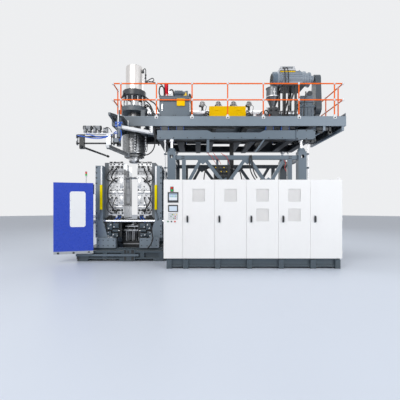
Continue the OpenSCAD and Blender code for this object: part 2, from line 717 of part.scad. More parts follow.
/* Guard rail: places of posts, and the heights of the two rails */
rail_line = front_y + 30;
rail_zs = [deck_top + rail_h / 2 + 5, deck_top + rail_h];
fit_d = rail_d + 22;
side_y = [rail_line, rail_line + 300, rail_line + 1170, rail_line + 2200];
side_x = deck_right - 80;
left_y = [rail_line, rail_line + 520];
left_x = deck_left + 30;
posts = concat([for (x = post_x) [x, rail_line]], [for (y = [side_y[1], side_y[2], side_y[3]]) [side_x, y]],
    [[left_x, left_y[1]]]);
module guard_tubes() color(orange) placed() {
    half = fit_d / 2;
    for (p = posts) {
        bar_z([p[0], p[1], deck_top + 50], rail_d, rail_zs[0] - half - deck_top - 50, 32);
        bar_z([p[0], p[1], rail_zs[0] + half], rail_d, rail_zs[1] - rail_zs[0] - 2 * half, 32);
    }
    for (z = rail_zs) {
        for (i = [0:5]) bar_x([post_x[i] + half, rail_line, z], rail_d, post_x[i + 1] - post_x[i] - 2 * half, 32);
        bar_x([left_x + half, rail_line, z], rail_d, post_x[0] - left_x - 2 * half, 32);
        bar_x([post_x[6] + half, rail_line, z], rail_d, side_x - post_x[6] - 2 * half, 32);
        for (i = [0:2]) bar_y([side_x, side_y[i] + half, z], rail_d, side_y[i + 1] - side_y[i] - 2 * half, 32);
        bar_y([left_x, left_y[0] + half, z], rail_d, left_y[1] - left_y[0] - 2 * half, 32);
    }
}
module guard_fittings() color(offwhite) placed() {
    half = fit_d / 2;
    for (p = posts) {
        bar_z([p[0], p[1], deck_top], rail_d + 24, 50, 32);
        block([p[0] - 60, p[1] - 25, deck_top], [120, 50, 10]);
    }
    for (z = rail_zs) {
        for (p = concat(posts, [[side_x, rail_line], [left_x, rail_line]]))
            bar_z([p[0], p[1], z - half], fit_d, fit_d, 32);
    }
}

/* Head stand: base flange on four legs over the opening in the deck */
module head_stand() color(dark) placed() difference() {
    union() {
        bar_z([clamp_x, head_y, flange_z], 880, 150, 96);
        for (sx = [-1, 1], sy = [-1, 1])
            block([clamp_x + sx * 350 - 60, head_y + sy * 350 - 60, deck_top], [120, 120, flange_z - deck_top]);
        for (sx = [-1, 1], sy = [-1, 1])
            block([clamp_x + sx * 350 - 90, head_y + sy * 350 - 90, deck_top], [180, 180, 20]);
    }
    bar_z([clamp_x, head_y, flange_z - 1], piston_d + 2 * run_gap, 152, 96);
    bar_x([clamp_x + 150, head_y, barrel_z], adapter_d + 2 * run_gap, 350);
    block([clamp_x + 150, head_y - adapter_d / 2 - run_gap, flange_z - 1],
        [350, adapter_d + 2 * run_gap, barrel_z - flange_z + 1]);
    for (i = [0:hrod_n - 1]) rotate_about_head(i * 360 / hrod_n) bar_z([rod_pcd / 2, 0, flange_z + 90], hrod_d, 61, 32);
}
module rotate_about_head(a) translate([clamp_x, head_y, 0]) rotate([0, 0, a]) children();

/* Head cylinder: collar, cylinder tube with its cap and the gland for the piston rod */
module head_cylinder() color(silver) placed() difference() {
    union() {
        translate([clamp_x, head_y, collar_z]) rotate_extrude($fn = 96) polygon([
            [0, 0], [collar_d / 2 - 12, 0], [collar_d / 2, 12], [collar_d / 2, collar_h - 12],
            [collar_d / 2 - 12, collar_h], [cyl_d / 2 + 30, collar_h], [cyl_d / 2 + 30, collar_h + 20],
            [0, collar_h + 20]]);
        bar_z([clamp_x, head_y, cyl_z], cyl_d, cyl_h - 60, 96);
        bar_z([clamp_x, head_y, cyl_z + cyl_h - 60], cyl_d - 24, 60, 96);
        for (i = [0:7]) rotate_about_head(i * 45 + 20) bar_z([cyl_d / 2 - 60, 0, cyl_z + cyl_h - 8], 44, 20, 6);
    }
    bar_z([clamp_x, head_y, cyl_z + 40], cyl_d - 80, cyl_h - 140, 96);
    bar_z([clamp_x, head_y, collar_z - 1], piston_d + 2 * run_gap, collar_h + 80, 96);
    for (i = [0:hrod_n - 1]) rotate_about_head(i * 360 / hrod_n) bar_z([rod_pcd / 2, 0, collar_z - 1], hrod_d, 151, 32);
}

/* Head tie rods: one ring of rods between the base flange and the collar */
module head_rods() color(silver) placed() for (i = [0:hrod_n - 1]) rotate_about_head(i * 360 / hrod_n) {
    bar_z([rod_pcd / 2, 0, flange_z + 90], hrod_d, collar_z + 150 - flange_z - 90, 32);
}

/* Head body: neck, accumulator with heater bands, bolted flange, bored for rod and stem */
module head_body() color(silver) placed() difference() {
    band = 84;
    union() {
        bar_z([clamp_x, head_y, acc_z + acc_h], 420, flange_z - acc_z - acc_h, 96);
        translate([clamp_x, head_y, acc_z]) rotate_extrude($fn = 96) polygon(concat(
            [[0, 0], [acc_d / 2 - 30, 0]],
            [for (i = [0:6], p = [[-18, 0], [0, 0], [0, band - 10], [-18, band - 10]])
                [acc_d / 2 + p[0], 20 + i * (band + 2) + p[1]]],
            [[acc_d / 2 - 30, acc_h], [0, acc_h]]));
        bar_z([clamp_x, head_y, acc_z - 100], acc_d - 220, 100, 96);
        bar_z([clamp_x, head_y, acc_z - 70], acc_d - 110, 40, 96);
        for (a = [-110, 70]) rotate_about_head(a) block([acc_d / 2 - 20, -45, acc_z + 20], [50, 90, acc_h - 40]);
        for (i = [0:11]) rotate_about_head(i * 30 + 15) bar_z([acc_d / 2 - 80, 0, acc_z - 96], 34, 130, 6);
        bar_x([clamp_x + 150, head_y, barrel_z], adapter_d, inlet_x - clamp_x - 150);
    }
    bar_z([clamp_x, head_y, flange_z - 500], piston_d + 2 * run_gap, 501, 96);
    bar_z([clamp_x, head_y, acc_z - 101], stem_d + 2 * run_gap, flange_z - acc_z, 48);
}

/* Die ring: a tapered ring under the accumulator */
module die_ring() color(silver) placed() translate([clamp_x, head_y, acc_z - 260]) difference() {
    rotate_extrude($fn = 96) polygon([[0, 0], [150, 0], [165, 20], [180, 60], [180, 130], [210, 130], [210, 160], [0, 160]]);
    translate([0, 0, -1]) cylinder(r = die_r, h = 70, $fn = 96);
    translate([0, 0, 60]) cylinder(r = die_r + 30, h = 101, $fn = 96);
}

/* Mandrel: a stem and the die core, which moves up and down to set the wall of the parison */
module mandrel() color(silver) placed() translate([clamp_x, head_y, acc_z - 268]) {
    cylinder(r = die_r - die_gap, h = 100, $fn = 96);
    cylinder(d = stem_d, h = 900, $fn = 48);
}

/* Piston rod: slides down through the stand into the neck and empties the accumulator */
module piston_rod() color(silver) placed() {
    bar_z([clamp_x, head_y, flange_z - 100], piston_d, cyl_z + 620 - flange_z + 100, 96);
    bar_z([clamp_x, head_y, cyl_z + 540], cyl_d - 80 - 2 * run_gap, 80, 96);
}

/* Barrel: flanged tube with heater bands, two saddles and the feed throat */
module barrel() color(silver) placed() {
    left = inlet_x;
    l = gear_x - left;
    difference() {
        union() {
            bar_x([left, head_y, barrel_z], barrel_d, l, 64);
            bar_x([left, head_y, barrel_z], barrel_d + 90, 50, 64);
            bar_x([gear_x - 60, head_y, barrel_z], barrel_d + 150, 60, 64);
            for (i = [0:8]) bar_x([left + 120 + i * 410, head_y, barrel_z], barrel_d + 30, 330, 64);
            for (x = [-1010, 260, 1820])
                block([x, head_y - 130, deck_top], [90, 260, barrel_z - deck_top - barrel_d / 2 + 30]);
            block([hopper_x - 170, head_y - 150, barrel_z - 130], [340, 300, 290]);
        }
        bar_x([left - 1, head_y, barrel_z], screw_d + 2 * fit_gap, l + 2, 64);
        bar_z([hopper_x, head_y, barrel_z], 150, 200);
    }
}

/* Screw: stepped core, conical tip, and the drive shank that enters the gearbox */
module screw() color(silver) placed() {
    left = inlet_x + 60;
    l = gear_x + 100 - left;
    core = screw_d / 2;
    translate([left, head_y, barrel_z]) rotate([0, 90, 0]) rotate_extrude($fn = 64) polygon([
        [0, 0], [core * 0.75, 90], [core * 0.78, 1400], [core * 0.6, 2600], [core * 0.6, l - 700],
        [core, l - 600], [core, l], [0, l]]);
    for (i = [0:30]) translate([left + 120 + i * screw_d, head_y, barrel_z]) rotate([0, 90, 0])
        cylinder(r = core, h = 14, $fn = 64);
}

/* Yellow cover over the middle of the barrel, with cut-outs for the blower ducts */
module barrel_cover() color(yellow) placed() {
    w = 420;
    top = barrel_z + 180;
    difference() {
        block([cover_x, head_y - w / 2, deck_top], [bcover_l, w, top - deck_top]);
        block([cover_x - 1, head_y - w / 2 + 6, deck_top - 1], [bcover_l + 2, w - 12, top - deck_top - 5]);
        for (x = [blower_x[1], blower_x[2]]) block([x - 42, head_y - 42, top - 7], [84, 84, 8]);
    }
}

/* Blowers: a scroll housing with its motor on a duct, one for each cooling zone */
module blowers() color(dark) placed() for (x = blower_x) {
    z = barrel_z + barrel_d / 2 + 15;
    bar_y([x, head_y - 60, z + 195], 170, 90);
    bar_y([x, head_y + 30, z + 195], 110, 120);
    bar_y([x, head_y - 80, z + 195], 90, 20);
    difference() {
        block([x - 35, head_y - 35, z - 20], [70, 70, 170]);
        bar_x([x - 36, head_y, barrel_z], barrel_d + 30 + 2 * fit_gap, 72, 64);
    }
    block([x - 85, head_y - 50, z + 110], [90, 70, 85]);
}

/* Hopper: a thin cylinder and cone on a square throat block */
module hopper() color(silver) placed() translate([hopper_x, head_y, 0]) {
    top = motor_z - motor_d / 2 - 25;
    low = barrel_z + 160;
    r = hopper_d / 2;
    difference() {
        rotate_extrude($fn = 96) polygon([
            [80, low], [130, low], [130, low + 16], [88, low + 16], [88, low + 60], [r, 5180], [r, top - 12],
            [r + 14, top - 12], [r + 14, top], [r - 6, top], [r - 6, 5182], [80, low + 62]]);
        for (a = [45:90:315]) rotate([0, 0, a]) translate([112, 0, low - 1]) cylinder(d = 14, h = 20, $fn = 24);
    }
}

/* Gearbox: stepped housing on a foot, with a breather cap and an input bearing */
module gearbox() color(slate) placed() difference() {
    union() {
        block([gear_x, head_y - 300, deck_top], [500, 600, 40]);
        block([gear_x, head_y - 240, deck_top + 40], [480, 480, 560]);
        block([gear_x, head_y - 270, 4790], [500, 540, 50]);
        block([gear_x + 60, head_y - 200, 4840], [400, 400, 330]);
        block([gear_x + 30, head_y - 230, 4960], [450, 460, 36]);
        for (i = [0:3]) block([gear_x + 60 + i * 110, head_y - 262, deck_top + 40], [16, 22, 510]);
        bar_y([gear_x + 380, head_y - 150, 5265], 172, 110);
        block([gear_x + 350, head_y - 130, 5160], [60, 70, 60]);
        bar_x([gear_x + 480, head_y, input_z], 240, 46);
    }
    bar_x([gear_x + 200, head_y, input_z], 70 + 2 * fit_gap, 400);
    bar_x([gear_x - 1, head_y, barrel_z], screw_d + 2 * fit_gap, 111);
}

/* Motor: cowl, ribbed body, end shield and terminal box */
module motor() color(slate) placed() difference() {
    r = motor_d / 2;
    ribs = [for (i = [0:17]) [[620 - i * 30, r], [614 - i * 30, r], [614 - i * 30, r - 16], [590 - i * 30, r - 16]]];
    union() {
        translate([2440, head_y, motor_z]) rotate([0, 90, 0]) rotate_extrude($fn = 96) polygon([
            [0, 0], [r * 0.75, 0], [r * 0.95, 30], [r * 0.98, 200], [r * 0.86, 210], [r * 0.86, 250], [r, 260],
            [r, 940], [r * 0.94, 950], [r * 0.94, 1000], [r, 1010], [r, 1060], [r * 0.8, 1080],
            [r * 0.8, 1180], [r * 0.9, 1190], [r * 0.9, 1230], [r * 0.5, 1260], [r * 0.5, 1350], [0, 1350]]);
        for (i = [0:23]) translate([2700, head_y, motor_z]) rotate([i * 15, 0, 0])
            block([20, -5, r - 10], [640, 10, 24]);
        block([2690, head_y - 190, motor_z + r - 30], [460, 380, 131]);
        block([2675, head_y - 205, motor_z + r - 30], [490, 410, 46]);
        for (y = [-r, r - 90]) block([2740, head_y + y, motor_z - r - 15], [640, 90, 130]);
    }
    bar_x([3600, head_y, motor_z], 60 + 2 * fit_gap, 250);
}

/* Motor stand: top plate, legs with feet and braces */
module motor_stand() color(dark) placed() {
    top = motor_z - motor_d / 2 - 15;
    block([2720, head_y - 330, top - 40], [730, 660, 40]);
    for (y = [head_y - 310, head_y + 240]) {
        for (x = [2730, 3110]) block([x, y, deck_top], [70, 70, top - 40 - deck_top]);
        for (x = [2690, 3070]) block([x, y - 20, deck_top], [150, 110, 16]);
        strut([2790, deck_top + 60], [3130, top - 100], 50, y + 15, 40);
    }
}

/* Outline of the belt guard: two rounded ends joined by their outer tangents */
module guard_outline(ra, rb, l) {
    a = acos((ra - rb) / l);
    circle(r = ra, $fn = 96);
    translate([0, l]) circle(r = rb, $fn = 96);
    polygon([[-ra * sin(a), ra * cos(a)], [ra * sin(a), ra * cos(a)],
        [rb * sin(a), l + rb * cos(a)], [-rb * sin(a), l + rb * cos(a)]]);
}

/* Belt guard: a hollow shell round both pulleys, open to the two shafts */
module belt_guard() color(slate) placed() translate([guard_x, head_y, input_z]) rotate([90, 0, 90]) {
    l = motor_z - input_z;
    ra = pulley_big_d / 2 + 40;
    rb = pulley_small_d / 2 + 40;
    difference() {
        linear_extrude(180) guard_outline(ra, rb, l);
        translate([0, 0, 8]) linear_extrude(164) guard_outline(ra - 8, rb - 8, l);
        translate([0, 0, -1]) cylinder(d = 130, h = 10, $fn = 64);
        translate([0, l, -1]) cylinder(d = 130, h = 10, $fn = 64);
    }
    for (y = [0, l]) translate([0, y, 180]) cylinder(d = 120, h = 12, $fn = 64);
    difference() {
        translate([-90, deck_top - input_z, 20]) cube([180, input_z - deck_top - ra + 40, 140]);
        translate([0, 0, 8]) cylinder(r = ra - 8, h = 164, $fn = 96);
    }
}

/* Pulley: grooved rim, web and hub on its shaft */
module pulley(d, z, shaft_d, shaft_l) placed() translate([guard_x + 30, head_y, z]) rotate([0, 90, 0]) {
    rotate_extrude($fn = 96) polygon(concat([[0, 0], [d / 2, 0]],
        [for (i = [0:4], p = [[0, 4], [-12, 9], [-12, 13], [0, 18]]) [d / 2 + p[0], i * 22 + p[1]]],
        [[d / 2, 115], [d / 2 - 30, 115], [d / 2 - 36, 60], [55, 60], [50, 118], [0, 118]]));
    translate([0, 0, -shaft_l]) cylinder(d = shaft_d, h = shaft_l, $fn = 48);
}
module pulley_big() color(dark) pulley(pulley_big_d, input_z, 70, 240);
module pulley_small() color(dark) pulley(pulley_small_d, motor_z, 60, 220);

/* Hydraulic unit: tank with a top plate, finned motor, forked stand and the front plate */
module hydraulic_unit() color(slate) placed() {
    y = front_y + 70;
    top = deck_top + unit_h;
    difference() {
        block([unit_x, y, deck_top], [unit_w, 560, unit_h]);
        for (x = [unit_x + 30, unit_x + unit_w / 2 + 10])
            block([x, y - 1, deck_top + 40], [unit_w / 2 - 40, 5, unit_h - 90]);
    }
    block([unit_x - 12, y - 12, top], [unit_w + 24, 584, 24]);
    block([-606, y - 8, 4540], [177, 12, 175]);
    bar_x([-700, y + 200, top + 155], 190, 250);
    for (i = [0:11]) bar_x([-690 + i * 20, y + 200, top + 155], 216, 8);
    bar_x([-450, y + 200, top + 155], 150, 110);
    block([-680, y + 130, top + 20], [200, 140, 80]);
    block([-360, y + 120, top + 20], [70, 160, 200]);
    for (s = [-1, 1]) strut([-945 + s * 80, top + 24], [-945, top + 200], 34, y + 190, 40);
    bar_z([-945, y + 210, top + 170], 70, 250);
    bar_z([-945, y + 210, top + 420], 96, 30);
}

/* Robot beam: white link from the platform to the pivot post of the take-out arm */
module robot_beam() color(offwhite) placed() {
    a = [-1370, 1400];
    b = [pivot_x, pivot_y];
    l = norm(a - b);
    z = deck_z - 195;
    block([a[0] - 40, front_y + 10, z], [90, 270, 195]);
    difference() {
        union() {
            translate([b[0], b[1], z]) rotate([0, 0, atan2(a[1] - b[1], a[0] - b[0])]) {
                block([0, -70, 0], [l, 50, 80]);
                block([0, 20, 0], [l, 50, 80]);
                for (x = [120, l / 2, l - 130]) block([x, -20, 15], [60, 40, 50]);
            }
            bar_z([b[0], b[1], z - 20], 170, 300);
        }
        bar_z([b[0], b[1], z - 21], 70 + 2 * fit_gap, 150);
    }
}

/* Crossbeam: pivot pin, end plate, two bars and the grip cylinders on top */
cross_right = -2300;
bar_d = 44;
cross_y = 560;
bar_zs = [cross_z, cross_z + 180];
module robot_crossbeam() color(silver) placed() {
    z = deck_z - 195;
    bar_z([pivot_x, pivot_y, cross_z - 40], 120, z - 20 - fit_gap - cross_z + 40);
    bar_z([pivot_x, pivot_y, z - 21], 70, 140);
    block([cross_right, cross_y - 40, cross_z - 50], [40, 80, 290]);
    block([cross_right, cross_y - 30, cross_z + 20], [150, 220, 120]);
    for (bz = bar_zs) bar_x([cross_right - cross_l, cross_y, bz], bar_d, cross_l);
    block([cross_right - cross_l - 30, cross_y - 40, cross_z - 50], [30, 80, 290]);
    block([cross_right - cross_l - 30, cross_y - 40, cross_z + 240], [cross_l + 70, 80, 30]);
    for (x = [-3080, -2820]) {
        block([x, cross_y - 60, cross_z + 269], [60, 120, 120]);
        block([x + 120, cross_y - 60, cross_z + 269], [60, 120, 120]);
        bar_x([x - 20, cross_y, cross_z + 420], 120, 220);
    }
    block([-2560, cross_y - 30, cross_z + 270], [120, 70, 150]);
}

/* Take-out arms: a carriage on the two bars and an arm that reaches between the moulds */
module carriage(x) difference() {
    block([x - 60, cross_y - 50, cross_z - 60], [120, 100, 290]);
    for (bz = bar_zs) bar_x([x - 61, cross_y, bz], bar_d + 2 * run_gap, 122);
}
module arm_right() color(silver) placed() {
    x = -2410;
    carriage(x);
    translate([x, cross_y - 140, cross_z - 150]) rotate([0, 0, -arm_turn]) {
        difference() {
            block([-50, 0, 0], [100, 1330, 90]);
            block([-22, 20, 40], [44, 1290, 51]);
        }
        block([-70, 1290, -20], [140, 60, 130]);
    }
    block([x - 60, cross_y - 50, cross_z - 150], [120, 100, 90]);
}
module arm_left() color(dark) placed() {
    x = -3140;
    carriage(x);
    block([x - 60, cross_y - 50, cross_z - 150], [120, 100, 90]);
    translate([x, cross_y - 140, cross_z - 105]) rotate([0, 0, -arm_turn]) {
        bar_y([0, 0, 0], 56, 1600);
        bar_y([0, 1540, 0], 76, 70);
    }
}

/* Head hose: hangs in an arc from the platform's underside to the die head */
hose_d = 34;
hose_route = [
    [-1262, 1250, 3954.8], [-1262, 1250, 3880], [-1262, 1262, 3780], [-1262, 1285, 3660], [-1266, 1320, 3540],
    [-1284, 1370, 3430], [-1324, 1440, 3335], [-1390, 1525, 3265], [-1470, 1615, 3222], [-1560, 1710, 3200],
    [-1650, 1805, 3205], [-1738, 1905, 3220], [-1786.8, 1969.3, 3229], [-1852.2, 2036.4, 3230]
];
function tangent(p, i) = p[min(i + 1, len(p) - 1)] - p[max(i - 1, 0)];
function unit(v) = v / norm(v);
module tube_along(p, d, sides) {
    rings = [for (i = [0:len(p) - 1])
        let (t = unit(tangent(p, i)), u = unit(cross(t, [0.3, -0.95, 0.1])), v = cross(t, u))
        for (k = [0:sides - 1]) p[i] + d / 2 * (cos(k * 360 / sides) * u + sin(k * 360 / sides) * v)];
    last = (len(p) - 1) * sides;
    walls = [for (i = [0:len(p) - 2], k = [0:sides - 1], half = [0, 1])
        let (a = i * sides + k, b = i * sides + (k + 1) % sides)
        half == 0 ? [a, a + sides, b + sides] : [a, b + sides, b]];
    caps = [for (k = [1:sides - 2], end = [0, 1]) end == 0 ? [0, k, k + 1] : [last, last + k + 1, last + k]];
    polyhedron(rings, concat(walls, caps));
}
module head_hose() color(dark) placed() tube_along(hose_route, hose_d, 10);

module door_1() door(0);
module door_2() door(1);
module door_3() door(2);
module door_4() door(3);
module door_5() door(4);
module handle_1() handle(0);
module handle_2() handle(1);
module handle_3() handle(2);
module handle_4() handle(3);
module handle_5() handle(4);

clamp_base();
plinth();
cabinet_frame();
switchgear();
control_panel();
panel_devices();
lower_columns();
lower_trusses();
cover_track();
blow_base();
door_1();
door_2();
door_3();
door_4();
door_5();
handle_1();
handle_2();
handle_3();
handle_4();
handle_5();
start_button();
selector_switch();
e_stop();
platen_left();
mould_left();
tie_bars();
platen_right();
mould_right();
blow_slide();
safety_cover();
cover_window();
lift_frame();
jack_screws();
platform();
guard_tubes();
guard_fittings();
head_stand();
head_cylinder();
head_rods();
head_body();
die_ring();
mandrel();
piston_rod();
barrel();
screw();
barrel_cover();
blowers();
hopper();
gearbox();
motor();
motor_stand();
belt_guard();
pulley_big();
pulley_small();
hydraulic_unit();
robot_beam();
robot_crossbeam();
arm_right();
arm_left();
head_hose();
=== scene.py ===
"""Looks of the drum blow moulding machine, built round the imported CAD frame. Metres, Z up, cabinets towards -Y."""
import math
import bmesh
import bpy
import numpy as np
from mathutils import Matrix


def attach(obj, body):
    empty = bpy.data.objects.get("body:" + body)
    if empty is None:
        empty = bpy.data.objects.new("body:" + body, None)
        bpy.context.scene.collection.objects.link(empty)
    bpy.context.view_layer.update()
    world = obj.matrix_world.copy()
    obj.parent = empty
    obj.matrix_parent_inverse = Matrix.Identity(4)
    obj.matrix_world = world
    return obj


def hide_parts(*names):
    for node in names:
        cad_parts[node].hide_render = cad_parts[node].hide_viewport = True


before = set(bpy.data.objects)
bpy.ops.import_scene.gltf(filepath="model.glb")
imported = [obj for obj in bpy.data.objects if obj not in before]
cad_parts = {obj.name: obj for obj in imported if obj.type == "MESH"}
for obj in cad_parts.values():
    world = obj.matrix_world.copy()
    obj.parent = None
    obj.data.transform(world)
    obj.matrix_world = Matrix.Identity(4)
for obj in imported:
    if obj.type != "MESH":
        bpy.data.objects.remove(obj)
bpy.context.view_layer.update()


MIDDLE = np.array([182.5, 1825.0, 0.0])


def rows_of(data):
    """An array of rows of numbers. In a text, spaces part the numbers and commas the rows."""
    if isinstance(data, str):
        data = [row.split() for row in data.split(",")]
    return np.asarray(data, float)


def points(rows):
    """Places in metres in the CAD frame from rows of millimetres in the source's own frame."""
    return (rows_of(rows) - MIDDLE) / 1000


def x_of(x):
    """One X in metres in the CAD frame from millimetres in the source's own frame."""
    return (x - MIDDLE[0]) / 1000


def y_of(y):
    """The same for one Y."""
    return (y - MIDDLE[1]) / 1000


# Surfaces: each is a pair of arrays, places and four-cornered faces

def grid(places, wrap_u=False, wrap_v=False):
    """Faces between the neighbours of a grid of places (nu, nv, 3), closed round a direction where it wraps."""
    nu, nv = places.shape[:2]
    i = np.arange(nu if wrap_u else nu - 1)[:, None]
    j = np.arange(nv if wrap_v else nv - 1)[None, :]
    nxt_i, nxt_j = (i + 1) % nu, (j + 1) % nv
    faces = np.stack(np.broadcast_arrays(i * nv + j, nxt_i * nv + j, nxt_i * nv + nxt_j, i * nv + nxt_j), -1)
    return places.reshape(-1, 3), faces.reshape(-1, 4)


def joined(*surfaces):
    """One surface out of several: places stacked, faces shifted by the places before them."""
    shift = np.cumsum([0] + [len(s[0]) for s in surfaces[:-1]])
    return np.vstack([s[0] for s in surfaces]), np.vstack([s[1] + n for s, n in zip(surfaces, shift)])


def copies(places, faces_of_one, count):
    """A stack of equal grids (count, n, 3) as one surface, the faces of one repeated with each one's shift."""
    n = places.shape[1]
    shift = (np.arange(count) * n)[:, None, None]
    return places.reshape(-1, 3), (faces_of_one[None] + shift).reshape(-1, 4)


def curve(knots, per_span):
    """Smooth line through the knots: between two of them a cubic whose slope at a knot is half the step across it."""
    q = np.vstack([2 * knots[0] - knots[1], knots, 2 * knots[-1] - knots[-2]])
    t = np.linspace(0, 1, per_span, endpoint=False)[None, :, None]
    a, b, c, d = (q[k:len(q) - 3 + k][:, None, :] for k in range(4))
    line = 0.5 * (2 * b + (c - a) * t + (2 * a - 5 * b + 4 * c - d) * t ** 2 + (3 * b - a - 3 * c + d) * t ** 3)
    return np.vstack([line.reshape(-1, 3), knots[-1]])


def tube(line, radius, sides):
    """A circle carried along a line: place + r (cos a u + sin a v), u and v across the tangent, r = 0 at the ends."""
    t = np.gradient(line, axis=0)
    t /= np.linalg.norm(t, axis=1, keepdims=True)
    flat = np.linalg.svd(t, full_matrices=False)[2][-1]
    u = np.cross(t, flat + 1e-3)
    u /= np.linalg.norm(u, axis=1, keepdims=True)
    v = np.cross(t, u)
    line = np.vstack([line[:1], line, line[-1:]])
    u, v = (np.vstack([w[:1], w, w[-1:]])[:, None] for w in (u, v))
    r = np.full(len(line), float(radius))
    r[[0, -1]] = 0
    a = (np.arange(sides) / sides * 2 * np.pi)[None, :, None]
    return grid(line[:, None] + r[:, None, None] * (np.cos(a) * u + np.sin(a) * v), wrap_v=True)


def tubes(lines, radius, sides):
    """Several tubes as one surface."""
    return joined(*[tube(line, radius, sides) for line in lines])


def frames_of(axes):
    """Three unit vectors for each axis: two across it and the axis itself."""
    w = axes / np.linalg.norm(axes, axis=1, keepdims=True)
    helper = np.where(np.abs(w[:, 2:3]) > 0.9, [[1.0, 0, 0]], [[0, 0, 1.0]])
    u = np.cross(helper, w)
    u /= np.linalg.norm(u, axis=1, keepdims=True)
    return u, np.cross(w, u), w


def turned(profile, places, axis, sides, lift=0.0):
    """A profile of (r, h) in metres turned about an axis: place + r cos a u + r sin a v + h axis.

    The places are in millimetres; the lift, in metres, first moves them along the axis.
    """
    places = points(places) + np.asarray(axis, float) * lift
    u, v, w = frames_of(np.broadcast_to(np.asarray(axis, float), places.shape))
    r, h = (rows_of(profile).T[k][None, :, None, None] for k in (0, 1))
    a = (np.arange(sides) / sides * 2 * np.pi)[None, None, :, None]
    all_places = (places[:, None, None] + r * (np.cos(a) * u[:, None, None] + np.sin(a) * v[:, None, None])
                  + h * w[:, None, None])
    one = grid(all_places[0], wrap_v=True)[1]
    return copies(all_places.reshape(len(places), -1, 3), one, len(places))


def hex_bolts(places, axis, s, washer=True):
    """Hexagon heads, s from axis to corner: a six-sided turned profile with a chamfer, on a round washer."""
    high, chamfer, under = 0.65, 0.12, 0.22
    heads = turned([(0, s * high), (s * 0.8, s * high), (s, s * (high - chamfer)), (s, 0), (0, 0)],
                   places, axis, 6, s * under if washer else 0)
    if not washer:
        return heads
    return joined(heads, turned([(0, s * under), (s * 1.25, s * under), (s * 1.3, 0), (0, 0)], places, axis, 14))


def socket_screws(places, axis, s):
    """Cylinder heads of radius s with a sunk key hole: a turned profile that goes down again near its axis."""
    return turned([(0, s * 0.45), (s * 0.45, s * 0.5), (s * 0.5, s * 0.9), (s * 0.88, s * 0.95), (s, s * 0.82),
                   (s, 0), (0, 0)], places, axis, 12)


def soft_boxes(lows, highs, radius, arc=2):
    """Boxes with rounded edges: corner of a box shrunk by r, plus r times a unit direction of that corner's octant."""
    lo, hi = (np.atleast_2d(np.asarray(w, float)) for w in (lows, highs))
    quarter = np.linspace(0, np.pi / 2, arc)
    u = (np.arange(4)[:, None] * np.pi / 2 + quarter).ravel()
    v = np.concatenate([quarter - np.pi / 2, quarter])
    sx = np.repeat([1, -1, -1, 1], arc)[:, None]
    sy = np.repeat([1, 1, -1, -1], arc)[:, None]
    sz = np.repeat([-1, 1], arc)[None, :]
    corner = np.stack(np.broadcast_arrays(sx, sy, sz), -1).astype(float)
    aim = np.stack([np.cos(v)[None] * np.cos(u)[:, None], np.cos(v)[None] * np.sin(u)[:, None],
                    np.broadcast_to(np.sin(v)[None], (len(u), len(v)))], -1)
    half = (hi - lo) / 2
    r = np.minimum(np.broadcast_to(radius, (len(lo),)), half.min(1) * 0.999)[:, None, None, None]
    made = ((lo + hi) / 2)[:, None, None] + corner[None] * (half[:, None, None] - r) + r * aim[None]
    low_end, high_end = (np.repeat(made[:, :, k].mean(1)[:, None, None], len(u), 1) for k in (0, -1))
    made = np.concatenate([low_end, made, high_end], 2)
    return copies(made.reshape(len(lo), -1, 3), grid(made[0], wrap_u=True)[1], len(lo))


def boxes(rows, radius=2.0, arc=2):
    """Rounded boxes from rows of low corner and size, in millimetres of the source's own frame."""
    rows = rows_of(rows)
    return soft_boxes(points(rows[:, :3]), points(rows[:, :3] + rows[:, 3:]), radius / 1000, arc)


def piece(name, body, paint, *surfaces, slot=None, smooth=35, replaces=()):
    """A mesh piece: doubles merged, normals outwards, edges sharper than an angle kept sharp, riding on a body."""
    places, faces = joined(*surfaces)
    slot = slot or paint.slot
    mesh = bpy.data.meshes.new(name)
    mesh.vertices.add(len(places))
    mesh.vertices.foreach_set("co", np.ascontiguousarray(places, np.float32).ravel())
    mesh.loops.add(faces.size)
    mesh.loops.foreach_set("vertex_index", faces.astype(np.int32).ravel())
    mesh.polygons.add(len(faces))
    mesh.polygons.foreach_set("loop_start", np.arange(len(faces), dtype=np.int32) * 4)
    mesh.polygons.foreach_set("loop_total", np.full(len(faces), 4, np.int32))
    mesh.update(calc_edges=True)
    work = bmesh.new()
    work.from_mesh(mesh)
    bmesh.ops.remove_doubles(work, verts=work.verts, dist=2e-6)
    bmesh.ops.dissolve_degenerate(work, edges=work.edges, dist=1e-7)
    bmesh.ops.recalc_face_normals(work, faces=work.faces)
    work.to_mesh(mesh)
    work.free()
    mesh.polygons.foreach_set("use_smooth", np.ones(len(mesh.polygons), bool))
    mesh.set_sharp_from_angle(angle=math.radians(smooth))
    made = bpy.data.objects.new(name, mesh)
    bpy.context.scene.collection.objects.link(made)
    mesh.materials.append(paint.material)
    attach(made, body)
    if replaces:
        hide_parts(*replaces)
    return made


# Finishes: a material is written as expressions on its sockets

class Socket:
    """One output of a material's nodes. Arithmetic and comparison on it add Math nodes."""

    def __init__(self, finish, output):
        self.finish, self.output = finish, output

    def math(self, operation, *values):
        return self.finish.node("ShaderNodeMath", {"operation": operation}, values)

    def __add__(self, other): return self.math("ADD", self, other)
    def __radd__(self, other): return self.math("ADD", other, self)
    def __sub__(self, other): return self.math("SUBTRACT", self, other)
    def __rsub__(self, other): return self.math("SUBTRACT", other, self)
    def __mul__(self, other): return self.math("MULTIPLY", self, other)
    def __rmul__(self, other): return self.math("MULTIPLY", other, self)
    def __truediv__(self, other): return self.math("DIVIDE", self, other)
    def __pow__(self, other): return self.math("POWER", self, other)
    def __gt__(self, other): return self.math("GREATER_THAN", self, other)
    def __lt__(self, other): return self.math("LESS_THAN", self, other)
    def size(self): return self.math("ABSOLUTE", self)
    def part(self): return self.math("FRACT", self)
    def most(self, other): return self.math("MAXIMUM", self, other)
    def least(self, other): return self.math("MINIMUM", self, other)


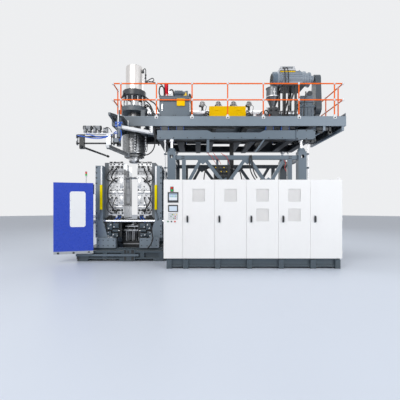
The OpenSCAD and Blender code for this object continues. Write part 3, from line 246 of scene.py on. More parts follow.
class Finish:
    """A material with one Principled shader; node() adds any node, the rest are short forms of it."""

    slot = "steel"

    def __init__(self, name):
        self.material = bpy.data.materials.new(name)
        self.material.use_nodes = True
        self.tree = self.material.node_tree
        self.shader = next(n for n in self.tree.nodes if n.type == "BSDF_PRINCIPLED")
        self.place = self.node("ShaderNodeTexCoord", {}, {}, "Object")
        self.x, self.y, self.z = (self.node("ShaderNodeSeparateXYZ", {}, [self.place], k) for k in range(3))

    def node(self, kind, settings, values, out=0):
        made = self.tree.nodes.new(kind)
        for key, value in settings.items():
            setattr(made, key, value)
        for key, value in (values.items() if isinstance(values, dict) else enumerate(values)):
            if isinstance(value, Socket):
                self.tree.links.new(value.output, made.inputs[key])
            elif value is not None:
                made.inputs[key].default_value = value
        return Socket(self, made.outputs[out])

    def set(self, **values):
        """Values or links of the shader's own inputs, by name with _ for a space."""
        for key, value in values.items():
            socket = self.shader.inputs[key.replace("_", " ")]
            if isinstance(value, Socket):
                self.tree.links.new(value.output, socket)
            else:
                socket.default_value = (*value, 1) if isinstance(value, tuple) and len(value) == 3 else value
        return self

    def mix(self, factor, a, b):
        """Colour a turning into colour b as the factor goes from 0 to 1."""
        a, b = ((*w, 1) if isinstance(w, tuple) else w for w in (a, b))
        return self.node("ShaderNodeMix", {"data_type": "RGBA"}, {0: factor, 6: a, 7: b}, 2)

    def tint(self, colour, amount):
        """A colour times 1 + amount, the amount a socket near 0."""
        light = self.node("ShaderNodeCombineXYZ", {}, [1 + amount, 1 + amount, 1 + amount])
        if isinstance(colour, tuple):
            colour = self.node("ShaderNodeCombineXYZ", {}, list(colour))
        return self.node("ShaderNodeVectorMath", {"operation": "MULTIPLY"}, [colour, light])

    def noise(self, scale, detail):
        """Cloud pattern from 0 to 1; the scale may be one number or one for each direction."""
        where = self.place
        if isinstance(scale, tuple):
            where, scale = self.node("ShaderNodeVectorMath", {"operation": "MULTIPLY"}, [where, scale]), 1.0
        return self.node("ShaderNodeTexNoise", {}, {"Vector": where, "Scale": scale, "Detail": detail})

    def facing(self):
        """Upward part of the surface's own direction."""
        normal = self.node("ShaderNodeNewGeometry", {}, {}, "Normal")
        return self.node("ShaderNodeSeparateXYZ", {}, [normal], 2)

    def bump(self, height, depth):
        return self.node("ShaderNodeBump", {}, {"Strength": 1.0, "Distance": depth, "Height": height})

    def between(self, value, low, high):
        """1 where a value lies between two numbers, else 0."""
        return (value > low) * (value < high)

    def inside(self, low, high):
        """1 inside a box given by two corners in millimetres of the source's own frame."""
        a, b = points([low, high])
        return (self.between(self.x, a[0], b[0]) * self.between(self.y, a[1], b[1])
                * self.between(self.z, a[2], b[2]))

    def marked(self, colour, rough, marks, bare=None):
        """Colour and roughness with marks (mask, colour, roughness) laid on; what is bare metal ends under them."""
        for mask, mark_rgb, mark_rough in marks:
            where = mask(self)
            colour = self.mix(where, colour, mark_rgb)
            rough = rough * (1 - where) + where * mark_rough
            if bare is not None:
                bare = (1 - where) * bare
        return colour, rough, bare


def within(low, high, rgb, rough):
    """A mark that fills a box given by two corners in millimetres of the source's own frame."""
    return (lambda f: f.inside(low, high)), rgb, rough


def enamel(name, rgb, rough=0.38, peel=0.00012, cloud=0.10, dust=0.12, floor_dirt=0.25, marks=(), extra_bump=None):
    """Painted steel: cloudy tone, dust on what faces up, dull scuffs, orange-peel bump, darker near the floor."""
    f = Finish(name)
    cloudy = f.noise(0.9, 4.0) - 0.5
    fine = f.noise(9.0, 5.0) - 0.5
    runs = f.noise((7.0, 7.0, 0.5), 3.0) - 0.5
    colour = f.tint(rgb, cloudy * cloud + fine * (cloud * 0.7) + runs * (cloud * 0.8))
    up = (f.facing() > 0.8) * (f.noise(3.0, 5.0) * dust * 2)
    colour = f.mix(up, colour, (0.48, 0.47, 0.45))
    low = (1 - (f.z * 3.2).least(1.0)) * (f.noise(5.0, 5.0) * floor_dirt * 1.6)
    colour = f.mix(low, colour, (0.10, 0.095, 0.085))
    rough_map = rough + fine * 0.16 + (f.noise(26.0, 2.0) > 0.68) * 0.07
    colour, rough_map, _ = f.marked(colour, rough_map, marks)
    height, depth = f.noise(320.0, 1.0), peel
    if extra_bump:
        more, more_depth = extra_bump(f)
        height, depth = height * peel + more * more_depth, 1.0
    return f.set(Base_Color=colour, Roughness=rough_map, Normal=f.bump(height, depth))


def metal(name, rgb, rough=0.3, grain=(4.0, 4.0, 240.0), cloud=0.10, stain=0.2, metallic=1.0, marks=(), depth=0.00006):
    """Bare metal: fine lines along one direction in tone, roughness and bump, with stains, and marks laid on from a
    list: colours of parts, and on the moulds painted shade.
    """
    f = Finish(name)
    lines = f.noise(grain, 2.0) - 0.5
    cloudy = f.noise(4.0, 4.0) - 0.5
    colour = f.tint(rgb, lines * (cloud * 0.8) + cloudy * cloud)
    spots = (f.noise(14.0, 5.0) > 0.62) * stain
    colour = f.mix(spots * 0.6, colour, tuple(0.55 * c for c in rgb))
    rough_map = rough + lines * 0.18 + cloudy * 0.15 + spots * 0.3
    colour, rough_map, metal_map = f.marked(colour, rough_map, marks, metallic)
    return f.set(Base_Color=colour, Roughness=rough_map, Metallic=metal_map, Normal=f.bump(lines, depth))


def plastic(name, rgb, rough, marks=(), coat=0.0):
    """Moulded plastic: even colour with a slight cloud, spark-eroded grain and a few rubbed places."""
    f = Finish(name)
    cloudy = f.noise(6.0, 4.0) - 0.5
    colour = f.tint(rgb, cloudy * 0.12)
    rough_map = rough + cloudy * 0.12 + (f.noise(40.0, 3.0) > 0.66) * 0.06
    colour, rough_map, _ = f.marked(colour, rough_map, marks)
    return f.set(Base_Color=colour, Roughness=rough_map, Coat_Weight=coat, Normal=f.bump(f.noise(900.0, 1.0), 0.00008))


def hose_rubber(name, rgb, rough=0.5):
    """Hose cover: a fine grain, with paler dust."""
    f = Finish(name)
    f.slot = "hose_rubber"
    dusty = f.noise(22.0, 4.0)
    colour = f.mix((dusty - 0.45).most(0.0) * 0.5, rgb, (0.11, 0.11, 0.11))
    return f.set(Base_Color=colour, Roughness=rough + (dusty - 0.5) * 0.2, Normal=f.bump(f.noise(260.0, 2.0), 0.0002))


EYE_Y, EYE_Z = -7500, 1.54


def look_from_the_photo():
    """Camera level at eye height, looking square at the cabinets, with the small shift of the photograph's frame."""
    lens = bpy.data.cameras.new("view")
    lens.lens, lens.sensor_width = 26.64, 36.0
    lens.shift_x, lens.shift_y = 0.00625, 0.02
    lens.clip_end = 200
    camera = bpy.data.objects.new("view", lens)
    camera.location = (x_of(0), y_of(EYE_Y), EYE_Z)
    camera.rotation_euler = (math.pi / 2, 0, 0)
    bpy.context.scene.collection.objects.link(camera)
    bpy.context.scene.camera = camera
    bpy.context.scene.view_settings.view_transform = "Standard"


def lamp(name, where, aim, size, power, rgb=(1, 1, 1)):
    """A square soft light at a place, turned so that its face looks at the aim."""
    light = bpy.data.lights.new(name, "AREA")
    light.size, light.energy, light.color = size, power, rgb
    holder = bpy.data.objects.new(name, light)
    holder.location = where
    along = np.asarray(aim, float) - np.asarray(where, float)
    flat = math.hypot(along[0], along[1])
    holder.rotation_euler = (math.pi / 2 + math.atan2(along[2], flat), 0,
                             math.atan2(along[1], along[0]) - math.pi / 2)
    bpy.context.scene.collection.objects.link(holder)


def surroundings():
    """Pale floor that keeps the shadow, white surroundings for eye and reflections, and four soft lamps."""
    world = bpy.data.worlds.new("hall")
    world.use_nodes = True
    bpy.context.scene.world = world
    tree = world.node_tree
    tree.nodes.clear()
    path = tree.nodes.new("ShaderNodeLightPath")
    seen, seen_too = tree.nodes.new("ShaderNodeMath"), tree.nodes.new("ShaderNodeMath")
    for node, first, second in ((seen_too, "Is Camera Ray", "Is Transmission Ray"), (seen, "Is Glossy Ray", None)):
        node.operation = "MAXIMUM"
        tree.links.new(path.outputs[first], node.inputs[0])
        tree.links.new(path.outputs[second] if second else seen_too.outputs[0], node.inputs[1])
    pale, soft, pick = (tree.nodes.new(k) for k in ("ShaderNodeBackground", "ShaderNodeBackground",
                                                     "ShaderNodeMixShader"))
    pale.inputs[0].default_value, pale.inputs[1].default_value = (0.85, 0.858, 0.872, 1), 1.0
    soft.inputs[0].default_value, soft.inputs[1].default_value = (0.86, 0.9, 0.97, 1), 0.36
    tree.links.new(seen.outputs[0], pick.inputs[0])
    tree.links.new(soft.outputs[0], pick.inputs[1])
    tree.links.new(pale.outputs[0], pick.inputs[2])
    tree.links.new(pick.outputs[0], tree.nodes.new("ShaderNodeOutputWorld").inputs[0])
    sides, reach, sunk = 48, 60.0, -0.001
    r, a = np.array([[0.0], [reach]]), np.arange(sides) / sides * 2 * np.pi
    places, faces = grid(np.stack([r * np.cos(a), r * np.sin(a), np.full((2, sides), sunk)], -1), wrap_v=True)
    mesh = bpy.data.meshes.new("hall_floor")
    mesh.from_pydata(places.tolist(), [], faces[:, ::-1].tolist())
    floor = bpy.data.objects.new("hall_floor", mesh)
    bpy.context.scene.collection.objects.link(floor)
    f = Finish("pale_floor")
    colour = f.tint((0.67, 0.725, 0.82), (f.noise(0.35, 4.0) - 0.5) * 0.05)
    f.set(Base_Color=colour, Roughness=0.42, Normal=f.bump(f.noise(30.0, 2.0), 0.0003))
    mesh.materials.append(f.material)
    lamp("key", (-5.5, -12, 9.5), (0, 0, 2.4), 7.0, 950, (1, 0.98, 0.95))
    lamp("fill", (8.5, -9.5, 5.0), (0.5, 0, 2.4), 7.0, 440, (0.95, 0.98, 1))
    lamp("top", (0, 1.5, 13.0), (0, 0.6, 2.0), 9.0, 420)
    lamp("back", (2.0, 13, 7.0), (0, 1.0, 3.0), 8.0, 380, (0.95, 0.98, 1))


look_from_the_photo()
surroundings()

# Head hose: the source's own route, hanging from the platform to the flange of the head

hose_route = curve(points([
    [-1262, 1250, 3954.8], [-1262, 1250, 3880], [-1262, 1262, 3780], [-1262, 1285, 3660], [-1266, 1320, 3540],
    [-1284, 1370, 3430], [-1324, 1440, 3335], [-1390, 1525, 3265], [-1470, 1615, 3222], [-1560, 1710, 3200],
    [-1650, 1805, 3205], [-1738, 1905, 3220], [-1786.8, 1969.3, 3229], [-1852.2, 2036.4, 3230]]), 3)
black_hose = hose_rubber("black_hose", (0.012, 0.012, 0.013))
head_hose = piece("head_hose_cover", "deck", black_hose, tube(hose_route, 0.017, 20), smooth=60,
                  replaces=["head_hose"])

# Finishes of the CAD nodes

SLATE, SLATE_PALE, SLATE_DARK = (0.125, 0.165, 0.205), (0.213, 0.262, 0.31), (0.058, 0.083, 0.105)
DARK, DEEP = (0.018, 0.02, 0.022), (0.014, 0.017, 0.021)
BRIGHT_RED = (0.80, 0.006, 0.028)
PANEL = -618  # middle of the operator's panel, X


def chequer(f):
    """Raised lens bars of tread plate, turned a quarter from cell to cell, only on the deck's top."""
    cell = 0.034
    u, v = (f.x + f.y) / cell, (f.x - f.y) / cell
    turn = ((u.math("FLOOR", u) + v.math("FLOOR", v)) * 0.5).part() * 2
    a, b = (u.part() - 0.5).size(), (v.part() - 0.5).size()
    long, short = a * turn + b * (1 - turn), b * turn + a * (1 - turn)
    bar = 1 - (long * 2.4) ** 2.0 - (short * 7.5) ** 2.0
    return bar.most(0.0) * f.between(f.z, 4.2395, 4.2405), 0.0016


slate_deck = enamel(
    "deck_slate", SLATE_PALE, 0.42, cloud=0.07, extra_bump=chequer,
    # painted shade: the deck turns darker left of x = -900 mm
    marks=[(lambda f: ((x_of(-900) - f.x) * 0.9).least(0.9).most(0.0), (0.075, 0.098, 0.12), 0.45),
           (lambda f: (f.y < y_of(1199)) * 1.0, (0.10, 0.122, 0.145), 0.45),
           # painted shade: the deck inside the bracket in front of it, painted nearly black
           within((-2341, 460, 3950), (-2079, 1199, 4240), (0.03, 0.038, 0.046), 0.5),
           # painted shade: everything under the deck's top plate, behind its front, painted nearly black
           within((-2500, 1235, 3900), (4350, 3690, 4222), DEEP, 0.5)])
slate_frame = enamel(
    "frame_slate", SLATE, 0.40,
    # painted shade: the columns and trusses behind y = 1900 mm, painted darker than the front ones
    marks=[(lambda f: (f.y > y_of(1900)) * 1.0, (0.045, 0.06, 0.075), 0.45),
           within((495, 1380, 2180), (1015, 1720, 2835), DEEP, 0.4)])
unit_enamel = enamel(
    "unit_enamel", (0.102, 0.135, 0.168), 0.42,
    marks=[within((-1060, 1300, 4865), (-820, 1828, 5320), BRIGHT_RED, 0.34)])
guard_enamel = enamel("guard_enamel", (0.07, 0.086, 0.102), 0.4)
slate_pale = enamel("pale_slate_enamel", SLATE_PALE, 0.40, cloud=0.08)
slate = enamel("slate_enamel", SLATE, 0.40)
slate_dark = enamel("dark_slate_enamel", SLATE_DARK, 0.45)
black_enamel = enamel("black_enamel", DARK, 0.36)
orange = enamel(
    "orange_enamel", (0.98, 0.16, 0.01), 0.3, cloud=0.06, dust=0.05, floor_dirt=0).set(Specular_IOR_Level=0.12)
yellow = enamel(
    "yellow_enamel", (1.0, 0.61, 0.0), 0.34, cloud=0.04, dust=0.02, floor_dirt=0).set(Specular_IOR_Level=0.08)
lemon = enamel("lemon_enamel", (1.0, 0.80, 0.0), 0.34, cloud=0.03, dust=0.0, floor_dirt=0).set(Specular_IOR_Level=0.05)
bright_red = enamel(
    "bright_red_enamel", BRIGHT_RED, 0.34, cloud=0.04, dust=0.0, floor_dirt=0).set(Specular_IOR_Level=0.1)
white_enamel = enamel("white_enamel", (0.82, 0.83, 0.84), 0.34, cloud=0.04, dust=0.05)
cabinet_white = enamel(
    "cabinet_powder_coat", (0.90, 0.885, 0.87), 0.42, peel=0.00025, cloud=0.03, dust=0.1, floor_dirt=0.1)
cover_blue = enamel(
    "royal_blue_enamel", (0.018, 0.062, 0.50), 0.28, cloud=0.05, dust=0.03, floor_dirt=0.0,
    marks=[(lambda f: (f.z < 0.3225) * 1.0, (0.42, 0.44, 0.46), 0.4),
           (lambda f: f.between(f.z, 1.936, 2.214) * (f.x > x_of(-2981)), (0.02, 0.022, 0.03), 0.4)])
steel = metal("ground_steel", (0.66, 0.67, 0.69), 0.32)
steel_across = metal("turned_steel", (0.72, 0.73, 0.75), 0.3, (240.0, 5.0, 5.0))
mould_metal = metal(
    "milled_aluminium", (0.64, 0.65, 0.665), 0.38, (180.0, 5.0, 18.0), 0.16, 0.5,
    marks=[(lambda f: (f.x < x_of(-2748.5)) + (f.x > x_of(-1411.5)), (0.16, 0.175, 0.19), 0.45),
           # painted shade: what lies between the two halves, painted darker
           (lambda f: f.between(f.x, x_of(-2288.6), x_of(-1871.4)) * f.between(f.z, 1.6, 2.56),
            (0.30, 0.305, 0.315), 0.4),
           # painted shade: the top of the gap between the halves, painted nearly black
           within((-2288.6, 1704, 2570), (-1871.4, 2200, 2740), (0.02, 0.021, 0.023), 0.5),
           (lambda f: f.between(f.z, 2.56, 2.77) * 0.4, (0.12, 0.125, 0.135), 0.45),
           (lambda f: f.between(f.z, 1.2, 1.232) + f.between(f.z, 2.0, 2.006), (0.05, 0.052, 0.056), 0.5)])
cylinder_metal = metal("polished_cylinder", (0.74, 0.715, 0.70), 0.36, (6.0, 6.0, 120.0), 0.05, 0.1,
                       marks=[(lambda f: f.between(f.z, 5.1, 5.3695), (0.05, 0.057, 0.066), 0.36)])
chrome = metal("hard_chrome", (0.86, 0.87, 0.89), 0.12, (200.0, 3.0, 3.0), 0.04, 0.05)
rod_steel = metal("rod_steel", (0.33, 0.34, 0.355), 0.3, (6.0, 6.0, 120.0), 0.15, 0.3)
stand_enamel = enamel("stand_enamel", (0.13, 0.157, 0.182), 0.42)
hopper_steel = metal("hopper_steel", (0.165, 0.175, 0.187), 0.42, (9.0, 9.0, 90.0), 0.16, 0.4)
barrel_steel = metal(
    "barrel_steel", (0.72, 0.73, 0.75), 0.3, (240.0, 5.0, 5.0),
    marks=[(lambda f: f.between(f.x, x_of(2300), x_of(2660)), (0.045, 0.05, 0.056), 0.4)])
blow_steel = metal(
    "blow_unit_steel", (0.46, 0.47, 0.485), 0.36, (30.0, 30.0, 90.0), 0.2, 0.5,
    marks=[(lambda f: f.between(f.z, 0.9395, 0.9855) * 1.0, (0.02, 0.023, 0.028), 0.45),
           (lambda f: (f.z < 0.39) * 1.0, (0.016, 0.018, 0.021), 0.4)])
zinc = metal("zinc_plate", (0.70, 0.71, 0.73), 0.38, (9.0, 90.0, 9.0), 0.14, 0.3)
cast = metal("cast_iron_grey", (0.16, 0.165, 0.17), 0.5, (60.0, 60.0, 60.0), 0.25, 0.4, 0.6, depth=0.0004)
band_metal = metal("heater_band_steel", (0.24, 0.245, 0.25), 0.38, (6.0, 6.0, 60.0), 0.3, 0.8)
arm_metal = metal("arm_channel_steel", (0.46, 0.48, 0.505), 0.38, (30.0, 30.0, 30.0), 0.2, 0.3)
white_screw = metal("bright_screw", (0.90, 0.90, 0.91), 0.3, (4.0, 4.0, 300.0), 0.1, 0.1, 0.7, depth=0.0012)
black_plastic = plastic("black_plastic", (0.015, 0.015, 0.017), 0.4)
motor_enamel = enamel(
    "motor_enamel", (0.27, 0.315, 0.365), 0.36, cloud=0.06, dust=0.06,
    marks=[(lambda f: (f.x < x_of(2590)) * 1.0, (0.12, 0.165, 0.215), 0.4),
           within((2660, 2060, 5994.5), (3170, 2480, 6140), (0.62, 0.635, 0.66), 0.35)])
track_enamel = enamel("track_enamel", SLATE, 0.4, marks=[(lambda f: (f.z > 0.32) * 1.0, (0.74, 0.75, 0.77), 0.3)])
slide_block_places = (-970, -515, 2130, 2590)


def under_the_deck(f):
    """The slide blocks on top of the lift frame."""
    masks = [f.inside((x - 106, 1200, 3830.5), (x + 106, 3500, 3960)) for x in slide_block_places]
    return masks[0] + masks[1] + masks[2] + masks[3]


lift_enamel = enamel("lift_frame_enamel", SLATE, 0.42, marks=[
    # painted shade: the lift frame behind y = 1424 mm, painted nearly black
    (lambda f: (f.y > y_of(1424)) * 1.0, (0.013, 0.017, 0.022), 0.5),
    (under_the_deck, (0.03, 0.034, 0.04), 0.4)])
beam_paint = enamel(
    "beam_paint", (0.95, 0.955, 0.96), 0.3, cloud=0.02, dust=0.0, floor_dirt=0,
    marks=[within((-2290, 640, 3900), (-2080, 860, 4120), (0.07, 0.088, 0.105), 0.4),
           within((-2290, 640, 3700), (-2100, 860, 3900.5), (0.40, 0.43, 0.47), 0.35)])
beam_white = enamel(
    "crossbeam_white", (0.78, 0.79, 0.81), 0.34, cloud=0.05, dust=0.05, floor_dirt=0,
    marks=[(lambda f: (f.z > 3.571) * 1.0, (0.24, 0.255, 0.275), 0.32),
           within((-2301, 460, 3200), (-2050, 900, 3780), (0.17, 0.2, 0.235), 0.38),
           (lambda f: f.between(f.z, 3.27, 3.33) + f.between(f.z, 3.45, 3.51), (0.02, 0.021, 0.023), 0.35)])
grey_plastic = plastic("grey_plastic", (0.25, 0.27, 0.30), 0.45)
green_cap = plastic("green_cap", (0.02, 0.33, 0.06), 0.28, coat=0.3)
red_cap = plastic("red_cap", (0.62, 0.012, 0.012), 0.28, coat=0.3)
window = plastic(
    "window_rim_and_pane", (0.92, 0.925, 0.93), 0.35,
    marks=[(lambda f: f.between(f.z, 1.034, 1.975) * f.between(f.x, x_of(-3552), x_of(-3210)),
            (0.90, 0.905, 0.91), 0.2)])


def screen_marks():
    """Masks of the panel devices: keypad, two screens, rows of tiles on the upper one, and the two lamps."""
    marks = [within((PANEL + x0, y0, z0), (PANEL + x1, y1, z1), rgb, rough) for x0, y0, z0, x1, y1, z1, rgb, rough in (
        (-130, -20, 1240, 130, -1, 1430, (0.62, 0.63, 0.65), 0.4),
        (-104, -20, 1734, 104, -1, 1908, (0.70, 0.78, 0.86), 0.15),
        (-98, -20, 1880, 98, -1, 1900, (0.10, 0.2, 0.38), 0.15),
        (-99, -20, 1462, 99, -1, 1589, (0.66, 0.76, 0.86), 0.15),
        (-60, -50, 2016, 0, 40, 2076, (0.72, 0.02, 0.015), 0.2),
        (-60, -50, 1956, 0, 40, 2015, (0.03, 0.5, 0.09), 0.2))]
    for k in range(4):
        x = PANEL - 92 + 48 * k
        marks.append(within((x, -20, 1750), (x + 38, -1, 1800), (0.86, 0.88, 0.9), 0.15))
        marks.append(within((x, -20, 1815), (x + 38, -1, 1862), ((0.38, 0.52, 0.70), (0.35, 0.55, 0.48))[k % 2], 0.15))
    return marks


devices = plastic("panel_devices", (0.06, 0.064, 0.07), 0.42, marks=screen_marks())

# Small parts. Rows are millimetres in the source's own frame, and a helper turns them into metres

HEAD = (-2080.0, 2270.0)
FRONT, BACK, DOWN, UP, LEFT, RIGHT = (0, -1, 0), (0, 1, 0), (0, 0, -1), (0, 0, 1), (-1, 0, 0), (1, 0, 0)


def ring(centre, radius, count, z, first=0.0):
    """Places on a level circle."""
    a = np.radians(first + np.arange(count) * 360.0 / count)
    return np.stack([centre[0] + radius * np.cos(a), centre[1] + radius * np.sin(a), np.full(count, z)], 1)


def lattice(xs, ys, zs):
    """Places at every crossing of three lists."""
    return np.stack(np.meshgrid(xs, ys, zs, indexing="ij"), -1).reshape(-1, 3)


def hose(knots):
    """A smooth line, in metres, through places in millimetres."""
    return curve(points(knots), 7)


def hoses(routes, radius, sides):
    """Tubes of a radius in metres along smooth lines; semicolons part the routes in the text."""
    return tubes([hose(knots) for knots in routes.split(";")], radius, sides)


def other_side(rows):
    """The same places mirrored about the clamp's middle plane."""
    p = rows_of(rows).copy()
    p[:, 0] = 2 * HEAD[0] - p[:, 0]
    return p


def other_side_boxes(rows):
    """Boxes of low corner and size mirrored about the same plane."""
    p = other_side(rows)
    p[:, 0] -= p[:, 3]
    return p


def drum(radius, length, edge=0.15):
    """Profile of a short round body with bevelled edges, in metres."""
    e = min(radius, length) * edge
    return [(0, 0), (radius - e, 0), (radius, e), (radius, length - e), (radius - e, length), (0, length)]


def band(inner, outer, height):
    """Profile of a flat ring, in metres."""
    return [(inner, 0), (outer, 0), (outer, height), (inner, height), (inner, 0)]


def coupling(scale=1.0):
    """Profile of a hose coupling: hexagon-like collar, groove, sleeve."""
    return [(r * scale, h * scale) for r, h in (
        (0, 0), (0.022, 0), (0.024, 0.003), (0.024, 0.018), (0.015, 0.021), (0.015, 0.03), (0.02, 0.032),
        (0.02, 0.058), (0.014, 0.064), (0, 0.064))]


navy = enamel("navy_enamel", (0.012, 0.022, 0.06), 0.35, dust=0.03, floor_dirt=0)
dark_bolt = metal("blackened_bolt", (0.05, 0.052, 0.055), 0.42, (60.0, 60.0, 60.0), 0.2, 0.2, 0.8)
bright_bolt = metal("zinc_bolt", (0.62, 0.63, 0.65), 0.33, (60.0, 60.0, 60.0), 0.2, 0.2)
brass = metal("brass_fitting", (0.55, 0.38, 0.14), 0.3, (40.0, 40.0, 40.0), 0.2, 0.3)
blue_hose = hose_rubber("blue_hose", (0.015, 0.12, 0.62), 0.35)
red_wire = plastic("red_wire", (0.6, 0.03, 0.015), 0.4)
orange_pipe = enamel("orange_pipe", (0.85, 0.11, 0.02), 0.35, dust=0.03, floor_dirt=0)
blue_plastic = plastic("blue_plastic", (0.02, 0.11, 0.5), 0.35)
white_plastic = plastic("white_plastic", (0.78, 0.79, 0.8), 0.4)
yellow_plastic = plastic("yellow_plastic", (0.9, 0.6, 0.01), 0.35)

for slot_name, finishes in (
        ("dark_paint", (black_enamel, slate_dark)), ("slate_paint", (slate, slate_pale, navy)),
        ("yellow_paint", (yellow, lemon, yellow_plastic)), ("red_plastic", (bright_red, red_wire, red_cap)),
        ("blue_paint", (blue_plastic, cover_blue)), ("black_plastic", (black_plastic, grey_plastic)),
        ("fitting_white", (white_enamel,)), ("green_plastic", (green_cap,)), ("window_plastic", (white_plastic,)),
        ("orange_paint", (orange_pipe,)), ("cabinet_paint", (cabinet_white,)), ("mould_steel", (mould_metal,))):
    for finish in finishes:
        finish.slot = slot_name

# Signal tower

for word, z, high, rgb in (("green", 2480, 61, (0.02, 0.5, 0.05)), ("red", 2542, 61, (0.72, 0.01, 0.01))):
    piece("tower_lens_" + word, "frame", plastic("tower_" + word, rgb, 0.2, coat=0.5),
        turned([(0, 0), (0.0285, 0), (0.0285, 0.004), (0.0275, 0.006), (0.0275, high / 1000 - 0.006),
        (0.0285, high / 1000 - 0.003), (0.0285, high / 1000), (0, high / 1000)], [[-3264, 1180, z]], UP, 32),
        slot="red_plastic")

# Die head: bolts, pipes, heater band boxes

piece("head_nuts", "deck", dark_bolt, hex_bolts(ring(HEAD, 340, 12, 4790), UP, 0.038),
    hex_bolts(ring(HEAD, 340, 12, 5160), DOWN, 0.036, washer=False),
    hex_bolts(ring(HEAD, 412, 16, 4790, 11), UP, 0.02), socket_screws(ring(HEAD, 349, 12, 5350, 15), UP, 0.017),
    socket_screws(ring(HEAD, 244, 10, 6160, 8), UP, 0.0122))
piece("head_pipes", "deck", black_hose,
    hoses("""-1815 2215 6010, -1740 2190 6095, -1696 2180 6060, -1694 2180 5910, -1696 2180 5760, -1680 2170 5690;
    -1660 2165 5675, -1560 2150 5730, -1460 2140 5765, -1420 2135 5700, -1480 2135 5650, -1580 2130 5660;
    -1640 2170 5660, -1460 2120 5630, -1270 2050 5560, -1130 1950 5460, -1060 1800 5260, -1040 1700 5020,
    -1030 1650 4864""", 0.014, 12))
piece("head_pipe_blocks", "deck", dark_bolt, boxes("""-1720 2150 5640 90 70 60, -1812 2180 5970 62 70 70,
    -1720 2155 5870 52 50 40, -1732 2160 5760 60 44 30""", 5, 3),
    turned(coupling(), "-1696 2180 5850, -1696 2180 5795", UP, 12))
piece("head_hoses", "deck", black_hose,
    hoses("""-1740 2110 5180, -1620 1990 5060, -1490 1900 4940, -1360 1830 4840, -1260 1790 4690, -1200 1780 4540;
    -1730 2050 4785, -1620 1965 4840, -1510 1900 4720, -1430 1870 4520, -1400 1860 4242;
    -1700 2085 4785, -1570 1990 4800, -1450 1930 4690, -1370 1900 4500, -1330 1890 4242;
    -2420 2040 4788, -2440 1920 4880, -2390 1880 5040, -2345 1990 5230;
    -1840 2555 5240, -1640 2740 5100, -1520 2790 4800, -1480 2800 4500, -1460 2800 4242""", 0.021, 12))
bands = 3300 + 86 * np.arange(7)
angles = np.radians([-75.0, -15.0, 140.0])
rows = [[HEAD[0] + 402 * math.cos(a) - 22, HEAD[1] + 402 * math.sin(a) - 22, z + 14, 44, 44, 46]
        for a in angles for z in bands]
piece("band_boxes", "deck", zinc, boxes(rows, 4, 3))
piece("band_clamps", "deck", steel,
    *[turned(band(0.3795, 0.3835, 0.009), [[*HEAD, z + k]], UP, 96) for z in bands for k in (8, 58)])
piece("band_wires", "deck", black_hose,
    tubes([hose([(HEAD[0] + r * math.cos(a + t), HEAD[1] + r * math.sin(a + t), z + dz)
    for r, t, dz in ((418, 0.0, 60), (440, 0.05, 120), (446, 0.09, 300), (436, 0.1, 560), (420, 0.1, 760))])
    for a in angles for z in (3300, 3472)], 0.009, 8))
piece("nozzle_bolts", "deck", dark_bolt, socket_screws(ring(HEAD, 240, 12, 3180, 15), DOWN, 0.013))
piece("head_side_bar", "deck", black_enamel,
    boxes("-1710 2250 3690 460 46 36, -1440 2240 3726 150 60 74, -1300 2235 3600 40 70 90", 4, 3))
piece("core_drive", "deck", slate_dark, boxes("-1700 2160 4010 90 120 150, -1690 2020 3900 60 60 200", 8, 3),
    turned(drum(0.05, 0.2), "-1655 2220 4160", UP, 24))

# Barrel: heater boxes and clamps, blower grilles, motors and wires, cover hoses and trim, water pipe and manifold

BLOWERS_X = (160, 680, 1180, 1690)
barrel_bands = -1500 + 410 * np.arange(9)
piece("barrel_boxes", "deck", zinc, boxes([[x + 140, 2246, 4756, 50, 48, 34] for x in barrel_bands[[0, 1, 2, 8]]]
    + [[x + 20, 2120, 4630, 40, 40, 44] for x in barrel_bands[[0, 1, 2, 3, 7]]], 4, 3))
piece("barrel_clamps", "deck", steel, *[turned(band(0.1095, 0.1135, 0.014), [[x + k, 2270, 4650]], RIGHT, 48)
    for x in barrel_bands[[0, 1, 2, 3, 7, 8]] for k in (14, 300)])
piece("blower_grilles", "deck", bright_bolt,
    *[turned(band(0.082 * t, 0.082 * t + 0.004, 0.006), [[x, 2189, 4955] for x in BLOWERS_X], FRONT, 28)
    for t in (0.25, 0.45, 0.65, 0.85, 1.0)],
    boxes([[x - 86, 2182, 4951, 172, 4, 8] for x in BLOWERS_X]
    + [[x - 4, 2182, 4869, 8, 4, 172] for x in BLOWERS_X], 1))
cooling_ribs = [(r, h + 0.015 * k) for k in range(7)
                for r, h in ((0.063, 0.004), (0.063, 0.011), (0.053, 0.012), (0.053, 0.018))]
piece("blower_motors", "deck", black_enamel,
    turned([(0, 0), (0.05, 0), *cooling_ribs, (0.05, 0.118), (0, 0.118)],
    [[x, 2302, 4955] for x in BLOWERS_X], BACK, 24),
    boxes([[x + dx, y, z, *size] for dx, y, z, *size in ((34, 2200, 4915, 62, 60, 44),
    (-112, 2230, 4868, 44, 60, 66), (-46, 2224, 4884, 92, 92, 10)) for x in BLOWERS_X], 6, 3))
piece("blower_wires", "deck", black_hose,
    tubes([hose([(x + 60, 2230, 4918), (x + 110, 2220, 4900), (x + 140, 2180, 4850), (x + 120, 2110, 4790),
    (x + 90, 2075, 4600), (x + 90, 2072, 4262)]) for x in BLOWERS_X], 0.008, 8))
arcs = []
for x0, way in ((380, -1), (1560, 1)):
    for k in range(3):
        arcs.append(hose([(x0, 2100 + 20 * k, 4640 - 60 * k), (x0 + way * (70 + 30 * k), 2070, 4670 - 70 * k),
            (x0 + way * (150 + 40 * k), 2050, 4560 - 60 * k), (x0 + way * (190 + 50 * k), 2040, 4400),
            (x0 + way * (200 + 55 * k), 2035, 4248)]))
for knots in ("2010 2040 4560, 2080 2010 4640, 2170 1990 4560, 2190 1985 4400, 2190 1985 4248",
              "2300 2120 4640, 2220 2060 4700, 2120 2030 4600, 2090 2020 4440, 2085 2015 4248"):
    arcs.append(hose(knots))
